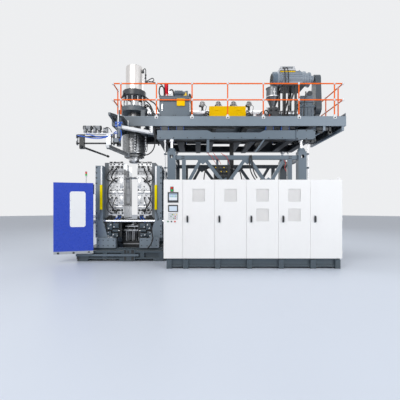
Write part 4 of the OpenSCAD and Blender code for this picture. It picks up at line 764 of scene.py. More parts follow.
piece("cover_hoses", "deck", black_hose, tubes(arcs, 0.017, 10))
piece("orange_water_pipe", "deck", orange_pipe,
    hoses("1850 2000 4470, 2050 2000 4470, 2290 2000 4470; 2290 2000 4470, 2330 2060 4500, 2345 2120 4560", 0.02, 14))
piece("yellow_cover_trim", "deck", yellow,
    boxes("380 2056 4242 1180 4 26, 380 2480 4242 1180 4 26, 962 2057 4250 16 3 575", 1),
    boxes([[x + dx, y, 4690, w, d, 12] for x in (560, 1260)
    for dx, y, w, d in ((0, 2034, 120, 10), (0, 2038, 10, 20), (110, 2038, 10, 20))], 3, 3))
piece("yellow_cover_screws", "deck", yellow,
    socket_screws(lattice((410, 690, 935, 1005, 1290, 1530), (2060,), (4300, 4560, 4800)), FRONT, 0.008))
piece("water_manifold", "deck", steel_across,
    tube(points("-1100 2660 4420, 600 2660 4420, 2300 2660 4420"), 0.03, 16),
    tube(points("-1100 2740 4360, 600 2740 4360, 2300 2740 4360"), 0.03, 16),
    turned(coupling(1.1), [[x, 2660, 4450] for x in range(-900, 2200, 380)], UP, 12),
    boxes([[x, 2620, 4241, 30, 160, 160] for x in (-1000, 100, 1200, 2200)], 3))
piece("manifold_hoses", "deck", blue_hose,
    tubes([hose([(x, 2660, 4512), (x, 2640, 4580), (x + 20, 2560, 4640), (x + 30, 2470, 4640), (x + 30, 2392, 4640)])
    for x in list(range(-900, 300, 380)) + [1760]], 0.013, 10))

# Hydraulic unit: hoses, yellow valve and box, red stand, gauge, filters, screws, level glass

piece("unit_arches", "deck", black_hose, hoses("""-1090 1400 4864, -1150 1390 4990, -1130 1390 5160, -1070 1395 5200,
    -1015 1400 5140, -1000 1405 5000, -1010 1410 4864; -870 1490 5010, -830 1480 5110, -770 1470 5120, -730 1465 5050,
    -720 1460 4864; -270 1420 4864, -240 1400 4960, -205 1390 4900, -190 1385 4700, -190 1385 4400, -195 1385 4248;
    -300 1600 4864, -240 1620 4990, -180 1640 4900, -165 1650 4600, -165 1650 4248""", 0.02, 12))
piece("unit_yellow_valve", "deck", yellow_plastic, boxes("-382 1290 4866 62 70 58, -410 1300 4866 24 50 40", 5, 3),
    turned(drum(0.022, 0.05), "-350 1325 4924", UP, 16))
piece("unit_yellow_box", "deck", yellow, boxes("-613 1238 4560 240 32 214", 6, 3),
    socket_screws(lattice((-600, -386), (1238,), (4572, 4762)), FRONT, 0.007))
piece("unit_red_stand", "deck", bright_red,
    boxes("-1003 1434 5030 116 30 262, -1003 1434 5000 26 90 292, -913 1434 5000 26 90 292", 5, 3))
piece("unit_gauge", "deck", bright_bolt, turned(drum(0.045, 0.03), "-820 1290 4960", FRONT, 28),
    turned(drum(0.008, 0.1), "-820 1305 4864", UP, 12), turned(drum(0.05, 0.19), "-560 1700 4864", UP, 24),
    turned("0 0, 0.048 0, 0.048 0.025, 0.03 0.04, 0 0.04", "-430 1740 4864", UP, 20))
piece("unit_screws", "deck", dark_bolt,
    socket_screws(lattice((-1110, -880, -685, -480, -258), (1262,), (4852,)), UP, 0.011),
    hex_bolts(lattice((-1100, -270), (1300, 1560, 1800), (4864,)), UP, 0.013),
    socket_screws(lattice((-1085, -720, -650, -275), (1270,), (4290, 4780)), FRONT, 0.011))
piece("unit_level_glass", "deck", chrome, boxes("-1060 1262 4440 30 8 160", 4, 3),
    hex_bolts("-1045 1264 4430, -1045 1264 4610", FRONT, 0.011))

# Hopper, gearbox and drive

HOPPER = (2480.0, 2270.0)
piece("hopper_trim", "deck", zinc,
    turned("0.2105 0, 0.222 0, 0.224 0.012, 0.222 0.024, 0.2105 0.024, 0.2105 0", [[*HOPPER, 5170]], UP, 64),
    turned("0.02 0, 0.034 0, 0.034 0.01, 0.02 0.014", "2480 2059 5300", FRONT, 24),
    boxes("2465 2056 5190 30 8 220", 2), slot="tray_zinc")
piece("hopper_slide_gate", "deck", black_enamel, boxes("2370 2160 4826 220 220 22, 2340 2230 4830 40 80 14", 3),
    tube(points("2345 2270 4838, 2270 2270 4838"), 0.01, 12))
piece("hopper_bolts", "deck", dark_bolt, hex_bolts(ring(HOPPER, 112, 4, 4826, 45), UP, 0.013))
piece("throat_cooling", "deck", dark_bolt,
    turned(coupling(1.2), "2390 2118 4720, 2560 2118 4720, 2390 2118 4580", FRONT, 12))
piece("drive_bolts", "deck", dark_bolt,
    hex_bolts(lattice((3300, 3440, 3600, 3730), (1990, 2550), (4280,)), UP, 0.018),
    hex_bolts(lattice((3300, 3420, 3540, 3660, 3740), (2006, 2534), (4840,)), UP, 0.013),
    socket_screws(lattice((3350, 3440, 3530), (2070,), (4900, 5060, 5140)), FRONT, 0.013),
    socket_screws(lattice((3290, 3750), (2030,), (4320, 4420, 4540, 4700)), FRONT, 0.013),
    hex_bolts(lattice((2760, 2900, 3050, 3220), (1975, 2565), (5490,)), UP, 0.014),
    hex_bolts(lattice((2705, 2825, 3085, 3205), (1950, 2490), (4256,)), UP, 0.014),
    socket_screws(lattice((2690, 2805, 2920, 3035, 3150), (2073, 2467), (6041,)), UP, 0.01))
piece("gearbox_disc", "deck", cylinder_metal, turned("""0 0.004, 0.03 0.004, 0.034 0.012, 0.074 0.012, 0.078 0.004,
    0.084 0.0, 0.084 -0.01, 0 -0.01""", "3650 2120 5265", FRONT, 48),
    socket_screws([[3650 + 55 * math.cos(a), 2109, 5265 + 55 * math.sin(a)]
    for a in np.arange(6) * np.pi / 3], FRONT, 0.008))
piece("gearbox_glass", "deck", brass, turned(drum(0.026, 0.014), "3420 2069 4980", FRONT, 24),
    turned(drum(0.018, 0.05), "3700 2029 4340", FRONT, 16))
piece("motor_cowl_grille", "deck", black_enamel,
    *[turned(band(r, r + 0.006, 0.008), "2438.5 2270 5765", LEFT, 48) for r in np.arange(0.03, 0.19, 0.022)])
piece("motor_yellow_strip", "deck", yellow, boxes("2681 2058 5936 478 34 30", 2))
piece("motor_terminal_lid", "deck", beam_white, boxes("2700 2090 6124 440 360 8", 4, 3),
    boxes("2750 2073 6052 340 8 62", 3, 3), slot="slate_paint")
piece("motor_lifting_eyes", "deck", dark_bolt,
    tubes([hose([(x, 2270 + 34 * math.sin(t), 6041 + 34 * (1 - math.cos(t)) * 0.6)
    for t in np.linspace(-2.6, 2.6, 9)]) for x in (3220, 3350)], 0.009, 10))
piece("motor_cables", "deck", black_hose, hoses("""2780 2078 6062, 2776 2010 6050, 2780 1965 5950, 2800 1950 5600,
    2810 1946 5100, 2800 1930 4600, 2780 1900 4250;
    2860 2078 6062, 2872 2000 6046, 2890 1955 5930, 2900 1940 5600, 2890 1936 5000, 2880 1920 4500, 2880 1890 4250;
    3500 2100 5300, 3480 2000 5250, 3420 1940 5000, 3380 1920 4600, 3370 1900 4250""", 0.016, 10))
guard_edge = np.array([[230 * math.sin(a), 4810 - 230 * math.cos(a)] for a in np.linspace(-1.5, 1.5, 9)]
                      + [[160 * math.sin(a), 5765 + 160 * math.cos(a)] for a in np.linspace(-1.5, 1.5, 7)])
inner = (guard_edge - [0, 5200]) * [0.9, 0.975] + [0, 5200]
piece("guard_bolts", "deck", dark_bolt, hex_bolts([[4010, 2270 + a, z] for a, z in inner], RIGHT, 0.011))
piece("guard_mesh", "deck", black_enamel,
    tubes([points([[4012, 2270 - 140 + 20 * k, 5000], [4012, 2270 - 140 + 20 * k, 5560]]) for k in range(15)]
    + [points([[4013, 2120, 5000 + 28 * k], [4013, 2420, 5000 + 28 * k]]) for k in range(21)], 0.0025, 6))
piece("guard_mesh_rim", "deck", slate_dark,
    boxes("4010 2105 4985 6 330 20, 4010 2105 5556 6 330 20, 4010 2105 4985 6 20 590, 4010 2415 4985 6 20 590", 2))

# Guard rail and deck: foot plates, bolts and grub screws, seams, kick plate at the end, trays and cables beneath

posts_x = [-2260 + 1050 * k for k in range(7)]
piece("rail_foot_plates", "deck", white_enamel, boxes([[x - 48, 1191, 4168, 96, 9, 74] for x in posts_x]
    + [[4281, y - 48, 4241, 18, 96, 12] for y in (1530, 2400, 3430)], 3, 3))
piece("rail_foot_bolts", "deck", dark_bolt, hex_bolts([[x, 1191, 4200] for x in posts_x], FRONT, 0.017),
    socket_screws(lattice(posts_x, (1201.5,), (4725, 5210)), FRONT, 0.006))
piece("deck_seams", "deck", slate_pale,
    boxes([[x, 1197, 3965, 6, 4, 265] for x in (-1160, 900, 2960)] + [[-2520, 1196.5, 4226, 6890, 4, 12]], 1))
piece("kick_plate", "deck", slate, boxes("4362 1220 4241 6 2400 100", 1))
piece("underdeck_tray", "deck", black_enamel, boxes("-1300 1300 3905 2400 60 45, 1400 1300 3905 1500 60 45", 4))
piece("underdeck_bracket", "deck", black_enamel,
    boxes("3520 1262 3840 400 60 112, 3880 1240 3740 70 90 212, 3560 1280 3770 150 60 72", 5, 3),
    turned(drum(0.06, 0.05), "3915 1290 3760", FRONT, 24))
piece("hanging_bundle", "lift", black_hose,
    tubes([hose([(x + 24 * k, y, z) for x, y, z in ((1030, 1880, 3830), (1028, 1884, 3500), (1034, 1876, 3000),
    (1030, 1880, 2500), (1032, 1880, 2240))]) for k in range(5)], 0.016, 8))

# Slide blocks and lift frame

piece("slide_block_screws", "lift", dark_bolt,
    socket_screws(lattice([x + d for x in slide_block_places for d in (-90, 90)], (1210,), (3860, 3925)),
    FRONT, 0.011))
piece("slide_block_wipers", "lift", blue_plastic,
    boxes([[x + side, y, 3836, 9, 196, 112]
           for x in slide_block_places for side in (-114, 105) for y in (1222, 3182)], 3, 3))
piece("lift_cable_bundle", "lift", black_hose,
    tubes([hose([(x, y + 16 * k, z - drop * k) for x, y, z, drop in ((-900, 1300, 3560, 8), (-300, 1300, 3540, 10),
    (400, 1310, 3555, 8), (1100, 1300, 3535, 10), (1900, 1305, 3560, 8), (2600, 1300, 3550, 8))])
    for k in range(4)], 0.012, 8))
piece("lift_roller_bracket", "lift", black_enamel,
    boxes("3120 1240 3476 330 130 98, 3440 1230 3500 60 150 72, 3040 1250 3520 80 100 54", 5, 3),
    turned(drum(0.045, 0.06), "3200 1240 3500, 3380 1240 3500", FRONT, 24))
piece("lift_box_bolts", "lift", dark_bolt,
    hex_bolts(lattice((2930, 3200, 3430), (1190,), (3580, 3810)), FRONT, 0.015),
    hex_bolts(lattice(np.arange(-1100, 2900, 400), (1220,), (3610,)), FRONT, 0.012))

# Columns and trusses: anchor bolts, valve block with its solenoids, hoses and wires

columns = [(x, y) for x in (-765, 3090) for y in (1320, 3270)]
anchors = np.vstack([lattice((x - 150, x + 150), (y - 150, y + 150), (30,)) for x, y in columns])
piece("anchor_bolts", "frame", dark_bolt, hex_bolts(anchors, UP, 0.022), turned(drum(0.011, 0.06), anchors, UP, 12),
    hex_bolts(lattice((-3430, -1030), (1130, 3340), (295,)), UP, 0.024))
piece("column_collar_bolts", "frame", dark_bolt, *[hex_bolts(ring(c, 103, 6, 3270, 30), UP, 0.008) for c in columns])
piece("truss_bolts", "frame", dark_bolt,
    hex_bolts(lattice((-455, -405, 2717, 2767), (1260,), (3010, 3060, 2210, 2260)), FRONT, 0.013))
piece("valve_bodies", "frame", black_enamel,
    boxes([[520 + 82 * c, 1405, 2450 + 122 * r, 62, 46, 92] for c in range(6) for r in range(3)]
    + [[505, 1427, 2400, 500, 24, 30], [505, 1427, 2800, 500, 24, 26]], 4, 3))
piece("valve_coils", "frame", yellow_plastic, boxes([[532 + 82 * c, 1388, 2500 + 122 * r, 30, 18, 26]
    for c, r in ((1, 0), (2, 1), (4, 1), (3, 2), (5, 0), (0, 2))], 3, 3))
piece("truss_hoses", "frame", black_hose, hoses("""1555 1250 3100, 1530 1225 2960, 1535 1222 2800, 1580 1225 2600,
    1660 1230 2440, 1740 1250 2340; 1590 1250 3100, 1600 1215 2940, 1620 1215 2760, 1680 1222 2560, 1760 1235 2420;
    640 1416 2440, 620 1230 2400, 600 1220 2330, 640 1225 2240, 700 1230 2180; 860 1416 2440, 880 1230 2390,
    960 1215 2330, 1060 1225 2250, 1100 1240 2150; 1000 1450 2700, 1120 1400 2740, 1260 1390 2650, 1320 1390 2450,
    1330 1390 2302; 520 1500 2700, 380 1450 2760, 250 1420 2680, 200 1400 2480, 190 1395 2302""", 0.017, 10))
piece("red_wires", "frame", red_wire, hoses("""300 1250 3180, 340 1235 3110, 400 1225 3080, 470 1225 2960,
    560 1330 2850; 470 1250 3170, 520 1225 3090, 560 1222 3020, 640 1225 2930, 700 1330 2840;
    700 1250 3160, 760 1225 3110, 840 1222 3070, 900 1225 2960, 960 1330 2850;
    2560 1250 2960, 2600 1225 2860, 2570 1222 2740, 2620 1225 2620""", 0.007, 8))
piece("rod_brackets", "frame", dark_bolt, hex_bolts(lattice((-955, 3280), (1290,), (2736, 3145)), FRONT, 0.012))

# Mould halves: bolts, couplings, hoses and trim, drawn once and mirrored

MOULD_Y = 1705.0


def face(z):
    """Front of the mould at a height: two clamping bars, and blocks that step back downwards."""
    return 1687 if 1339 <= z <= 1429 or 2766 <= z <= 2856 else 1717 if z < 1652 else 1711 if z < 2548 else 1705


def mould_trim(side, body, name):
    """All the small parts of one mould half, on its left side or mirrored to the right."""
    keep, left = (other_side, other_side_boxes) if side > 0 else (rows_of, rows_of)
    outwards, inwards = (RIGHT, LEFT) if side > 0 else (LEFT, RIGHT)

    def run(routes, per_span):
        """Smooth lines on this half."""
        return [curve(points(keep(k)), per_span) for k in routes]

    big = [[x, face(z), z] for z in (1470, 2811) for x in (-2715, -2552, -2400)]
    small = [[x, face(z), z] for z in (1250, 1700, 1930, 2120, 2480, 2600) for x in (-2690, -2560, -2430, -2320)]
    piece(name + "_sunk_bolts", body, dark_bolt, socket_screws(keep(big), FRONT, 0.021),
        socket_screws(keep(small), FRONT, 0.013),
        socket_screws(keep([[x, MOULD_Y + 1130, z] for z in (1500, 2700) for x in (-2660, -2500, -2360)]),
        BACK, 0.018))
    piece(name + "_clamp_bars", body, mould_metal,
        boxes(left([[x, MOULD_Y - d, z, w, d + 13, h] for x, d, z, w, h in ((-2740, 14, 2680, 430, 52),
        (-2740, 14, 1545, 430, 46), (-2740, 20, 1985, 200, 70), (-2480, 20, 1985, 170, 70),
        (-2735, 26, 1780, 60, 100), (-2735, 26, 2230, 60, 100), (-2400, 10, 2160, 80, 280),
        (-2400, 10, 1665, 80, 235), (-2600, 30, 2380, 110, 60), (-2600, 30, 1640, 110, 60))]), 4, 3))
    spots = [[x, face(z), z] for z in (1380, 1860, 2360, 2750) for x in (-2650, -2520)]
    piece(name + "_couplings", body, dark_bolt, turned(coupling(1.05), keep(spots), FRONT, 12))
    piece(name + "_pockets", body, black_enamel, boxes(left([[x - w, face(z) - 3, z - h, 2 * w, 4, 2 * h]
        for x, w, z, h in [(x, w, z, 38) for x, w in ((-2634, 40), (-2471, 52), (-2345, 28)) for z in (1470, 2811)]
        + [(x, 20, z, 24) for x in (-2690, -2590, -2440, -2330) for z in (1384, 2892)]
        + [(x, 16, z, 21) for x in (-2700, -2500, -2320) for z in (1610, 2090, 2200, 2620)]
        + [(-2519, 226, z, 4.5) for z in (1535, 2075, 2660, 2926)]]), 1.4))
    lines = """-2650 1636 2740, -2660 1600 2690, -2745 1570 2600, -2790 1560 2450, -2740 1575 2390, -2650 1600 2370,
        -2650 1636 2360; -2520 1636 2740, -2530 1590 2700, -2600 1550 2560, -2620 1545 2460, -2560 1570 2380,
        -2520 1600 2365, -2520 1636 2360; -2470 1640 2470, -2560 1560 2400, -2700 1530 2200, -2740 1525 1950,
        -2690 1530 1700, -2570 1560 1500, -2500 1640 1420;
        -2650 1636 1860, -2670 1590 1820, -2760 1560 1700, -2770 1560 1520, -2690 1590 1400, -2650 1636 1380;
        -2520 1636 1860, -2530 1585 1800, -2590 1555 1640, -2580 1560 1480, -2530 1600 1400, -2520 1636 1380;
        -2720 1700 1300, -2800 1600 1180, -2830 1560 1000, -2840 1540 800, -2850 1560 700""".split(";")
    piece(name + "_black_hoses", body, black_hose, tubes(run(lines[:3] + lines[5:], 6), 0.019, 10))
    piece(name + "_dark_hoses", body, black_hose, tubes(run(lines[3:5], 6), 0.013, 10))
    piece(name + "_blue_hoses", body, blue_hose,
        tubes(run("""-2440 1700 1300, -2460 1620 1260, -2540 1580 1180, -2640 1560 1120;
        -2380 1700 1290, -2400 1630 1230, -2470 1590 1140, -2560 1560 1090""".split(";"), 6), 0.011, 10))
    piece(name + "_eyes", body, dark_bolt,
        tubes([curve(points(keep([(x + 30 * math.cos(t), y, 2940 + 28 + 30 * math.sin(t))
        for t in np.linspace(-1.2, 4.3, 11)])), 3) for x in (-2600, -2400) for y in (1850, 2690)], 0.008, 10))
    piece(name + "_top_pipes", body, dark_bolt,
        tube(points(keep("-2700 1760 2960, -2700 2270 2960, -2700 2790 2960")), 0.016, 12),
        tube(points(keep("-2500 1760 2955, -2500 2270 2955, -2500 2790 2955")), 0.012, 12),
        turned(coupling(0.8), keep([[x, y, 2940] for x in (-2620, -2460) for y in (1800, 2000, 2540, 2740)]), UP, 12),
        boxes(left("-2735 1706 2940 90 40 40, -2600 1706 2940 150 36 30, -2400 1708 2940 80 40 44"), 3))
    piece(name + "_foot_blocks", body, black_enamel,
        boxes(left([[-2744, MOULD_Y - 34, 1206, 96, 46, 112], [-2636, MOULD_Y - 30, 1206, 84, 42, 90],
        [-2700, MOULD_Y - 60, 1215, 40, 30, 60], [-2338, MOULD_Y - 18, 1222, 44, 30, 66]]), 3))
    piece(name + "_foot_blue", body, navy, boxes(left([[-2478, MOULD_Y - 36, 1204, 112, 48, 124]]), 6, 3))
    piece(name + "_under_plate", body, black_enamel, boxes(left("-2752 1608 652 422 20 547"), 2))
    piece(name + "_under_units", body, slate_dark,
        boxes(left("""-2744 1500 880 150 108 190, -2580 1516 930 176 92 140, -2736 1496 668 104 112 160,
        -2612 1506 664 190 102 110"""), 6, 3),
        turned(drum(0.045, 0.17), keep("-2590 1548 846"), inwards, 28),
        turned(drum(0.034, 0.07), keep("-2668 1556 1070"), UP, 24))
    piece(name + "_under_fittings", body, bright_bolt,
        turned(coupling(0.9), keep("-2700 1500 920, -2640 1500 1020, -2540 1516 960, -2560 1506 720"), FRONT, 12),
        turned(drum(0.016, 0.05), keep("-2424 1548 846"), inwards, 16),
        hex_bolts(keep("-2716 1496 690, -2716 1496 800, -2450 1506 690"), FRONT, 0.012))
    piece(name + "_guide_strip", body, zinc, boxes(left("-2925 1438 2238 42 12 570"), 2))
    piece(name + "_thin_cables", body, black_hose,
        tubes(run("""-2908 1402 1492, -2925 1394 1420, -2962 1392 1330, -2980 1410 1230, -2984 1440 1180;
        -2896 1402 1492, -2906 1390 1400, -2934 1388 1300, -2950 1410 1220, -2955 1440 1160""".split(";"), 5),
        0.005, 8))
    # Platen: yellow cover, bolt rows, trim of the shoe
    piece(name + "_yellow_bar", body, lemon, boxes(left("-2940 1401.5 1490 70 50 745"), 5, 3))
    piece(name + "_platen_bolts", body, dark_bolt,
        hex_bolts(keep([[-3050, 1450, z] for z in (740, 840, 1000, 1240, 1390, 2290, 2450, 2600, 2760)]),
        FRONT, 0.016),
        hex_bolts(keep([[-3083, y, z] for y in (1475, 1835, 2705, 3065) for z in np.arange(760, 2800, 170)]),
        outwards, 0.014),
        socket_screws(keep([[x, 1300, z] for x in (-2940, -2800, -2660, -2500) for z in (420, 580)]), FRONT, 0.014),
        hex_bolts(keep([[x, y, 645] for x in (-2660, -2560, -2475) for y in (1340, 1440, 3100, 3200)]), UP, 0.016))
    piece(name + "_shoe_trim", body, slate_pale,
        boxes(left("-3003 1296 352 565 5 26, -3003 1296 610 565 5 30, -2438 1310 360 8 160 120"), 2))


mould_trim(-1, "clamp_left", "left_mould")
mould_trim(1, "clamp_right", "right_mould")

# Blow unit and clamp base

piece("blow_unit_bolts", "frame", dark_bolt, hex_bolts(lattice((-2330, -1830), (1960, 2580), (860,)), UP, 0.016),
    socket_screws(lattice((-2340, -2210, -2080, -1950, -1820), (1920,), (350, 840)), FRONT, 0.013),
    turned(drum(0.031, 0.02), [[-2080 + x, 2270 + y, 420] for x in (-200, 0, 200) for y in (-260, 260)], UP, 24))
piece("blow_slide_trim", "blow_lift", bright_bolt, boxes("-2330 2024 936 500 6 34, -2120 2014 990 80 16 24", 2),
    socket_screws(lattice((-2300, -2180, -1980, -1860), (2024,), (952,)), FRONT, 0.01))
piece("blow_hoses", "frame", black_hose, hoses("""-1820 1900 860, -1740 1820 850, -1660 1750 740, -1640 1700 560,
    -1650 1640 420; -2350 1900 860, -2430 1800 840, -2490 1740 700, -2500 1690 520, -2490 1640 400;
    -1350 1180 1020, -1330 1170 800, -1310 1160 640, -1360 1120 480, -1470 1100 340""", 0.019, 10))
piece("base_front_block", "frame", slate_dark,
    boxes("-2150 1045 2 345 25 144, -2150 1045 216 345 25 124, -2170 1052 2 385 18 40", 3), slot="slate_paint")
piece("base_front_slots", "frame", black_enamel, boxes("""-2118 1041.5 24 62 5 112, -1915 1041.5 24 80 5 112,
    -2118 1041.5 226 62 5 100, -1915 1041.5 226 80 5 100, -2030 1041.5 236 60 5 80, -3480 1064 20 60 6 240""", 2))
piece("blow_rear_plate", "frame", black_enamel, boxes("-2655 2896 296 1150 18 860", 3))
piece("blow_side_blocks", "frame", black_enamel,
    boxes("-2372 1990 420 66 240 300, -1854 1990 420 66 240 300, -2372 1960 420 582 16 70", 4))
piece("base_rail_bolts", "frame", dark_bolt,
    socket_screws(lattice(np.arange(-3340, -1080, 120), (1390, 3150), (350,)), UP, 0.009))
piece("track_bolts", "frame", dark_bolt,
    hex_bolts(lattice(np.arange(-3440, -1750, 210), (1044,), (180,)), FRONT, 0.009))

# Safety cover: its own frame is turned about the upright through its left edge

COVER_TURN = math.radians(14.6)


def on_cover(rows):
    """Places in the cover's frame, turned with it and moved to its left edge."""
    p, a = rows_of(rows), COVER_TURN
    return np.stack([-3995 + p[:, 0] * math.cos(a) - p[:, 1] * math.sin(a),
                     700 + p[:, 0] * math.sin(a) + p[:, 1] * math.cos(a), p[:, 2]], 1)


cover_out = (math.sin(COVER_TURN), -math.cos(COVER_TURN), 0)
piece("cover_rivets", "cover", cover_blue,
    turned("0 0.003, 0.005 0.0025, 0.008 0", on_cover([[x, 0, z] for z in (2230, 345) for x in range(40, 1040, 120)]
    + [[x, 0, z] for x in (16, 1034) for z in range(440, 2200, 176)]), cover_out, 12),
    socket_screws(on_cover([[x, -8, z] for x in (442, 827) for z in (1030, 1265, 1505, 1745, 1980)]),
    cover_out, 0.006))
piece("cover_bottom_rollers", "cover", dark_bolt,
    turned(drum(0.03, 0.02), on_cover("120 10 276, 525 10 276, 930 10 276"), cover_out, 24))

# Cabinets: lock plates, handle grips, filters, key caps, rings and bezels, eye bolts, seams, screws and cables behind

bays = [-375 + 809 * k for k in range(5)]
for k, x in enumerate(bays, 1):
    piece("door_%d_plate" % k, "door_%d_body" % k, grey_plastic, boxes([[x + 94, -4, 1170, 48, 4, 180]], 4, 3),
        turned(drum(0.012, 0.008), [[x + 118, -4, 1190]], FRONT, 18))
    piece("handle_%d_grip" % k, "handle_%d_body" % k, black_plastic,
        boxes([[x + 105, -45.6, 1196, 26, 9, 130]], 4, 4))
for k, heights in ((1, [1865]), (2, [1865]), (3, [1865, 1365]), (4, [1865, 1365])):
    piece("door_%d_filters" % k, "door_%d_body" % k, cabinet_white,
        boxes([[bays[k - 1] + 248, 13, z - 159, 312, 6, 318] for z in heights], 2))
caps = [[PANEL - 104 + 36 * c + 4, -9, 1266 + 48 * r, 20, 7, 24] for r in range(3) for c in range(6)]
for word, which, finish, slot_name in (
        ("white", [0, 1, 2, 5, 6, 8, 9, 11, 12, 13, 16], white_plastic, "window_plastic"),
        ("green", [3, 7, 14], green_cap, "green_plastic"), ("red", [4, 10], red_cap, "red_plastic"),
        ("yellow", [15, 17], yellow_plastic, "window_plastic")):
    piece("keys_" + word, "frame", finish, boxes([caps[k] for k in which], 3, 3), slot=slot_name)
piece("lamp_plate", "frame", black_plastic, boxes([[PANEL - 72, -5, 1950, 84, 5, 132]], 3, 3))
piece("button_rings", "frame", grey_plastic, turned("""0.0155 0, 0.021 0, 0.021 0.004, 0.0185 0.006, 0.0155 0.006,
    0.0155 0""", "-747 0 1198, -659 0 1198", FRONT, 36), slot="device_plastic")
piece("screen_bezels", "frame", black_plastic, boxes([[PANEL + x, -15, z, w, 4, h]
    for x, z, w, h in ((-128, 1914, 256, 18), (-128, 1710, 256, 16), (-128, 1710, 18, 220), (110, 1710, 18, 220),
    (-118, 1598, 236, 14), (-118, 1446, 236, 14), (-118, 1446, 14, 166), (104, 1446, 14, 166))], 2),
    slot="device_plastic")
piece("cabinet_eyes", "frame", bright_bolt,
    tubes([hose([(x + 26 * math.cos(t), y, 2290 + 26 * math.sin(t)) for t in np.linspace(-1.3, 4.4, 11)])
    for x in (-820, 1200, 3620) for y in (90, 560)], 0.007, 10))
piece("roof_seams", "frame", cabinet_white, boxes([[x - 3, 24, 2260, 6, 590, 3] for x in bays], 1))
piece("rear_panel_screws", "frame", bright_bolt, turned("0 0.004, 0.006 0.003, 0.009 0",
    lattice([x + d for x in bays for d in (40, 404, 770)], (620,), (300, 960, 1600, 2220)), BACK, 12))
piece("rear_cables", "frame", black_hose,
    tubes([hose([(x, 640, 2200), (x, 760, 2212), (x, 1000, 2211), (x, 1240, 2214)]) for first in (-230, 2360)
    for x in range(first, first + 180, 30)], 0.011, 8))

# Take-out robot: hoses, fittings, gripper trim, bolts, channel and pads of the arms

piece("takeout_blue_hoses", "takeout", blue_hose, hoses("""-3250 505 3500, -3120 492 3478, -2900 488 3432,
    -2700 488 3415, -2520 500 3440, -2380 540 3500, -2290 610 3560, -2215 680 3620;
    -3000 500 3540, -2850 480 3500, -2650 480 3452, -2480 490 3470, -2340 560 3540, -2240 650 3650;
    -2130 700 3700, -2105 680 3600, -2112 672 3480, -2150 670 3400""", 0.013, 10))
piece("pivot_fittings", "deck", blue_plastic,
    boxes("-2268 640 3860 60 50 60, -2180 640 3800 70 44 80, -2120 650 3870 44 50 46, -2250 646 3770 40 40 60", 6, 3),
    turned(drum(0.03, 0.05), "-2150 650 3880, -2235 650 3800", FRONT, 16))
piece("bracket_white_posts", "deck", white_enamel,
    boxes("-2188 606 3836 30 12 274, -2342 606 4096 160 12 14, -2052 1186 3960 26 12 150", 3))
piece("gripper_trim", "takeout", black_enamel,
    turned(drum(0.064, 0.024), [[x, 560, 3720] for x in (-3100, -2902, -2840, -2642)], RIGHT, 32),
    turned("0 0, 0.02 0, 0.02 0.03, 0 0.03", [[x, 560, 3778] for x in (-3040, -2930, -2780, -2670)], DOWN, 16))
piece("gripper_hoses", "takeout", black_hose, hoses("""-3040 520 3770, -3040 490 3740, -2990 480 3640, -2900 490 3600,
    -2760 500 3590; -2780 520 3770, -2770 488 3730, -2700 482 3650, -2600 490 3610, -2470 505 3600;
    -2520 530 3700, -2440 500 3720, -2370 520 3680, -2330 560 3600""", 0.009, 8))
piece("crossbeam_bolts", "takeout", dark_bolt,
    hex_bolts([[x, 520, z] for x in (-3270, -2280) for z in (3270, 3350, 3440, 3520)], FRONT, 0.012),
    hex_bolts([[x, 500, 3600] for x in (-3070, -3030, -2950, -2910, -2810, -2770, -2690, -2650)], FRONT, 0.009))
piece("link_beam_trim", "deck", dark_bolt, hex_bolts([[-1395, 1210, z] for z in (3800, 3860, 3920)], FRONT, 0.013))

ARM_TURN = math.radians(-10)


def on_arm(x0, rows):
    """Places beside an arm: along it from its carriage, turned with it."""
    p, a = rows_of(rows), ARM_TURN
    return np.stack([x0 + p[:, 0] * math.cos(a) - p[:, 1] * math.sin(a),
                     420 + p[:, 0] * math.sin(a) + p[:, 1] * math.cos(a), p[:, 2]], 1)


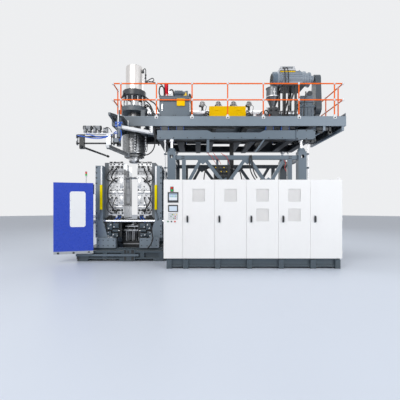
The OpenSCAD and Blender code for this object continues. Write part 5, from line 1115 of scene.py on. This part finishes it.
piece("right_arm_channel", "grip_right", black_hose,
    tube(points(on_arm(-2410, "0 30 3196, 0 600 3196, 0 1280 3196")), 0.016, 10),
    tube(points(on_arm(-2410, "-14 40 3214, -14 640 3214, -14 1270 3214")), 0.008, 8), slot="dark_paint")
piece("right_arm_pads", "grip_right", dark_bolt, soft_boxes(points(on_arm(-2410, "-60 1345 3140, 10 1345 3140")),
    points(on_arm(-2410, "-10 1392 3225, 60 1392 3225")), 0.006, 3),
    hex_bolts(on_arm(-2410, [[s, y, 3240] for s in (-38, 38) for y in (60, 330, 600, 870, 1140)]), UP, 0.007),
    slot="dark_paint")
piece("left_arm_rings", "grip_left", bright_bolt, turned(band(0.028, 0.032, 0.02),
    on_arm(-3140, [[0, y, 3195] for y in (200, 500, 800, 1100, 1400)]),
    (math.sin(-ARM_TURN), math.cos(ARM_TURN), 0), 24))

for finish, nodes in (
        (slate_dark, "clamp_base plinth"),
        (cabinet_white, "cabinet_frame control_panel door_1 door_2 door_3 door_4 door_5"), (zinc, "switchgear"),
        (devices, "panel_devices"), (slate_frame, "lower_columns lower_trusses"), (track_enamel, "cover_track"),
        (blow_steel, "blow_base blow_slide"), (green_cap, "start_button"),
        (black_plastic, "selector_switch handle_1 handle_2 handle_3 handle_4 handle_5"), (red_cap, "e_stop"),
        (slate_pale, "platen_left platen_right"), (mould_metal, "mould_left mould_right"),
        (chrome, "tie_bars piston_rod"), (cover_blue, "safety_cover"), (window, "cover_window"),
        (lift_enamel, "lift_frame"), (white_screw, "jack_screws"), (slate_deck, "platform"), (orange, "guard_tubes"),
        (white_enamel, "guard_fittings"), (stand_enamel, "head_stand"), (cylinder_metal, "head_cylinder"),
        (rod_steel, "head_rods"), (band_metal, "head_body"), (steel, "die_ring mandrel"), (barrel_steel, "barrel"),
        (steel_across, "screw"), (yellow, "barrel_cover"), (black_enamel, "blowers motor_stand arm_left"),
        (hopper_steel, "hopper"), (slate, "gearbox"), (motor_enamel, "motor"), (guard_enamel, "belt_guard"),
        (cast, "pulley_big pulley_small"), (unit_enamel, "hydraulic_unit"), (beam_paint, "robot_beam"),
        (beam_white, "robot_crossbeam"), (arm_metal, "arm_right")):
    for node in nodes.split():
        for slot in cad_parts[node].material_slots:
            slot.material = finish.material
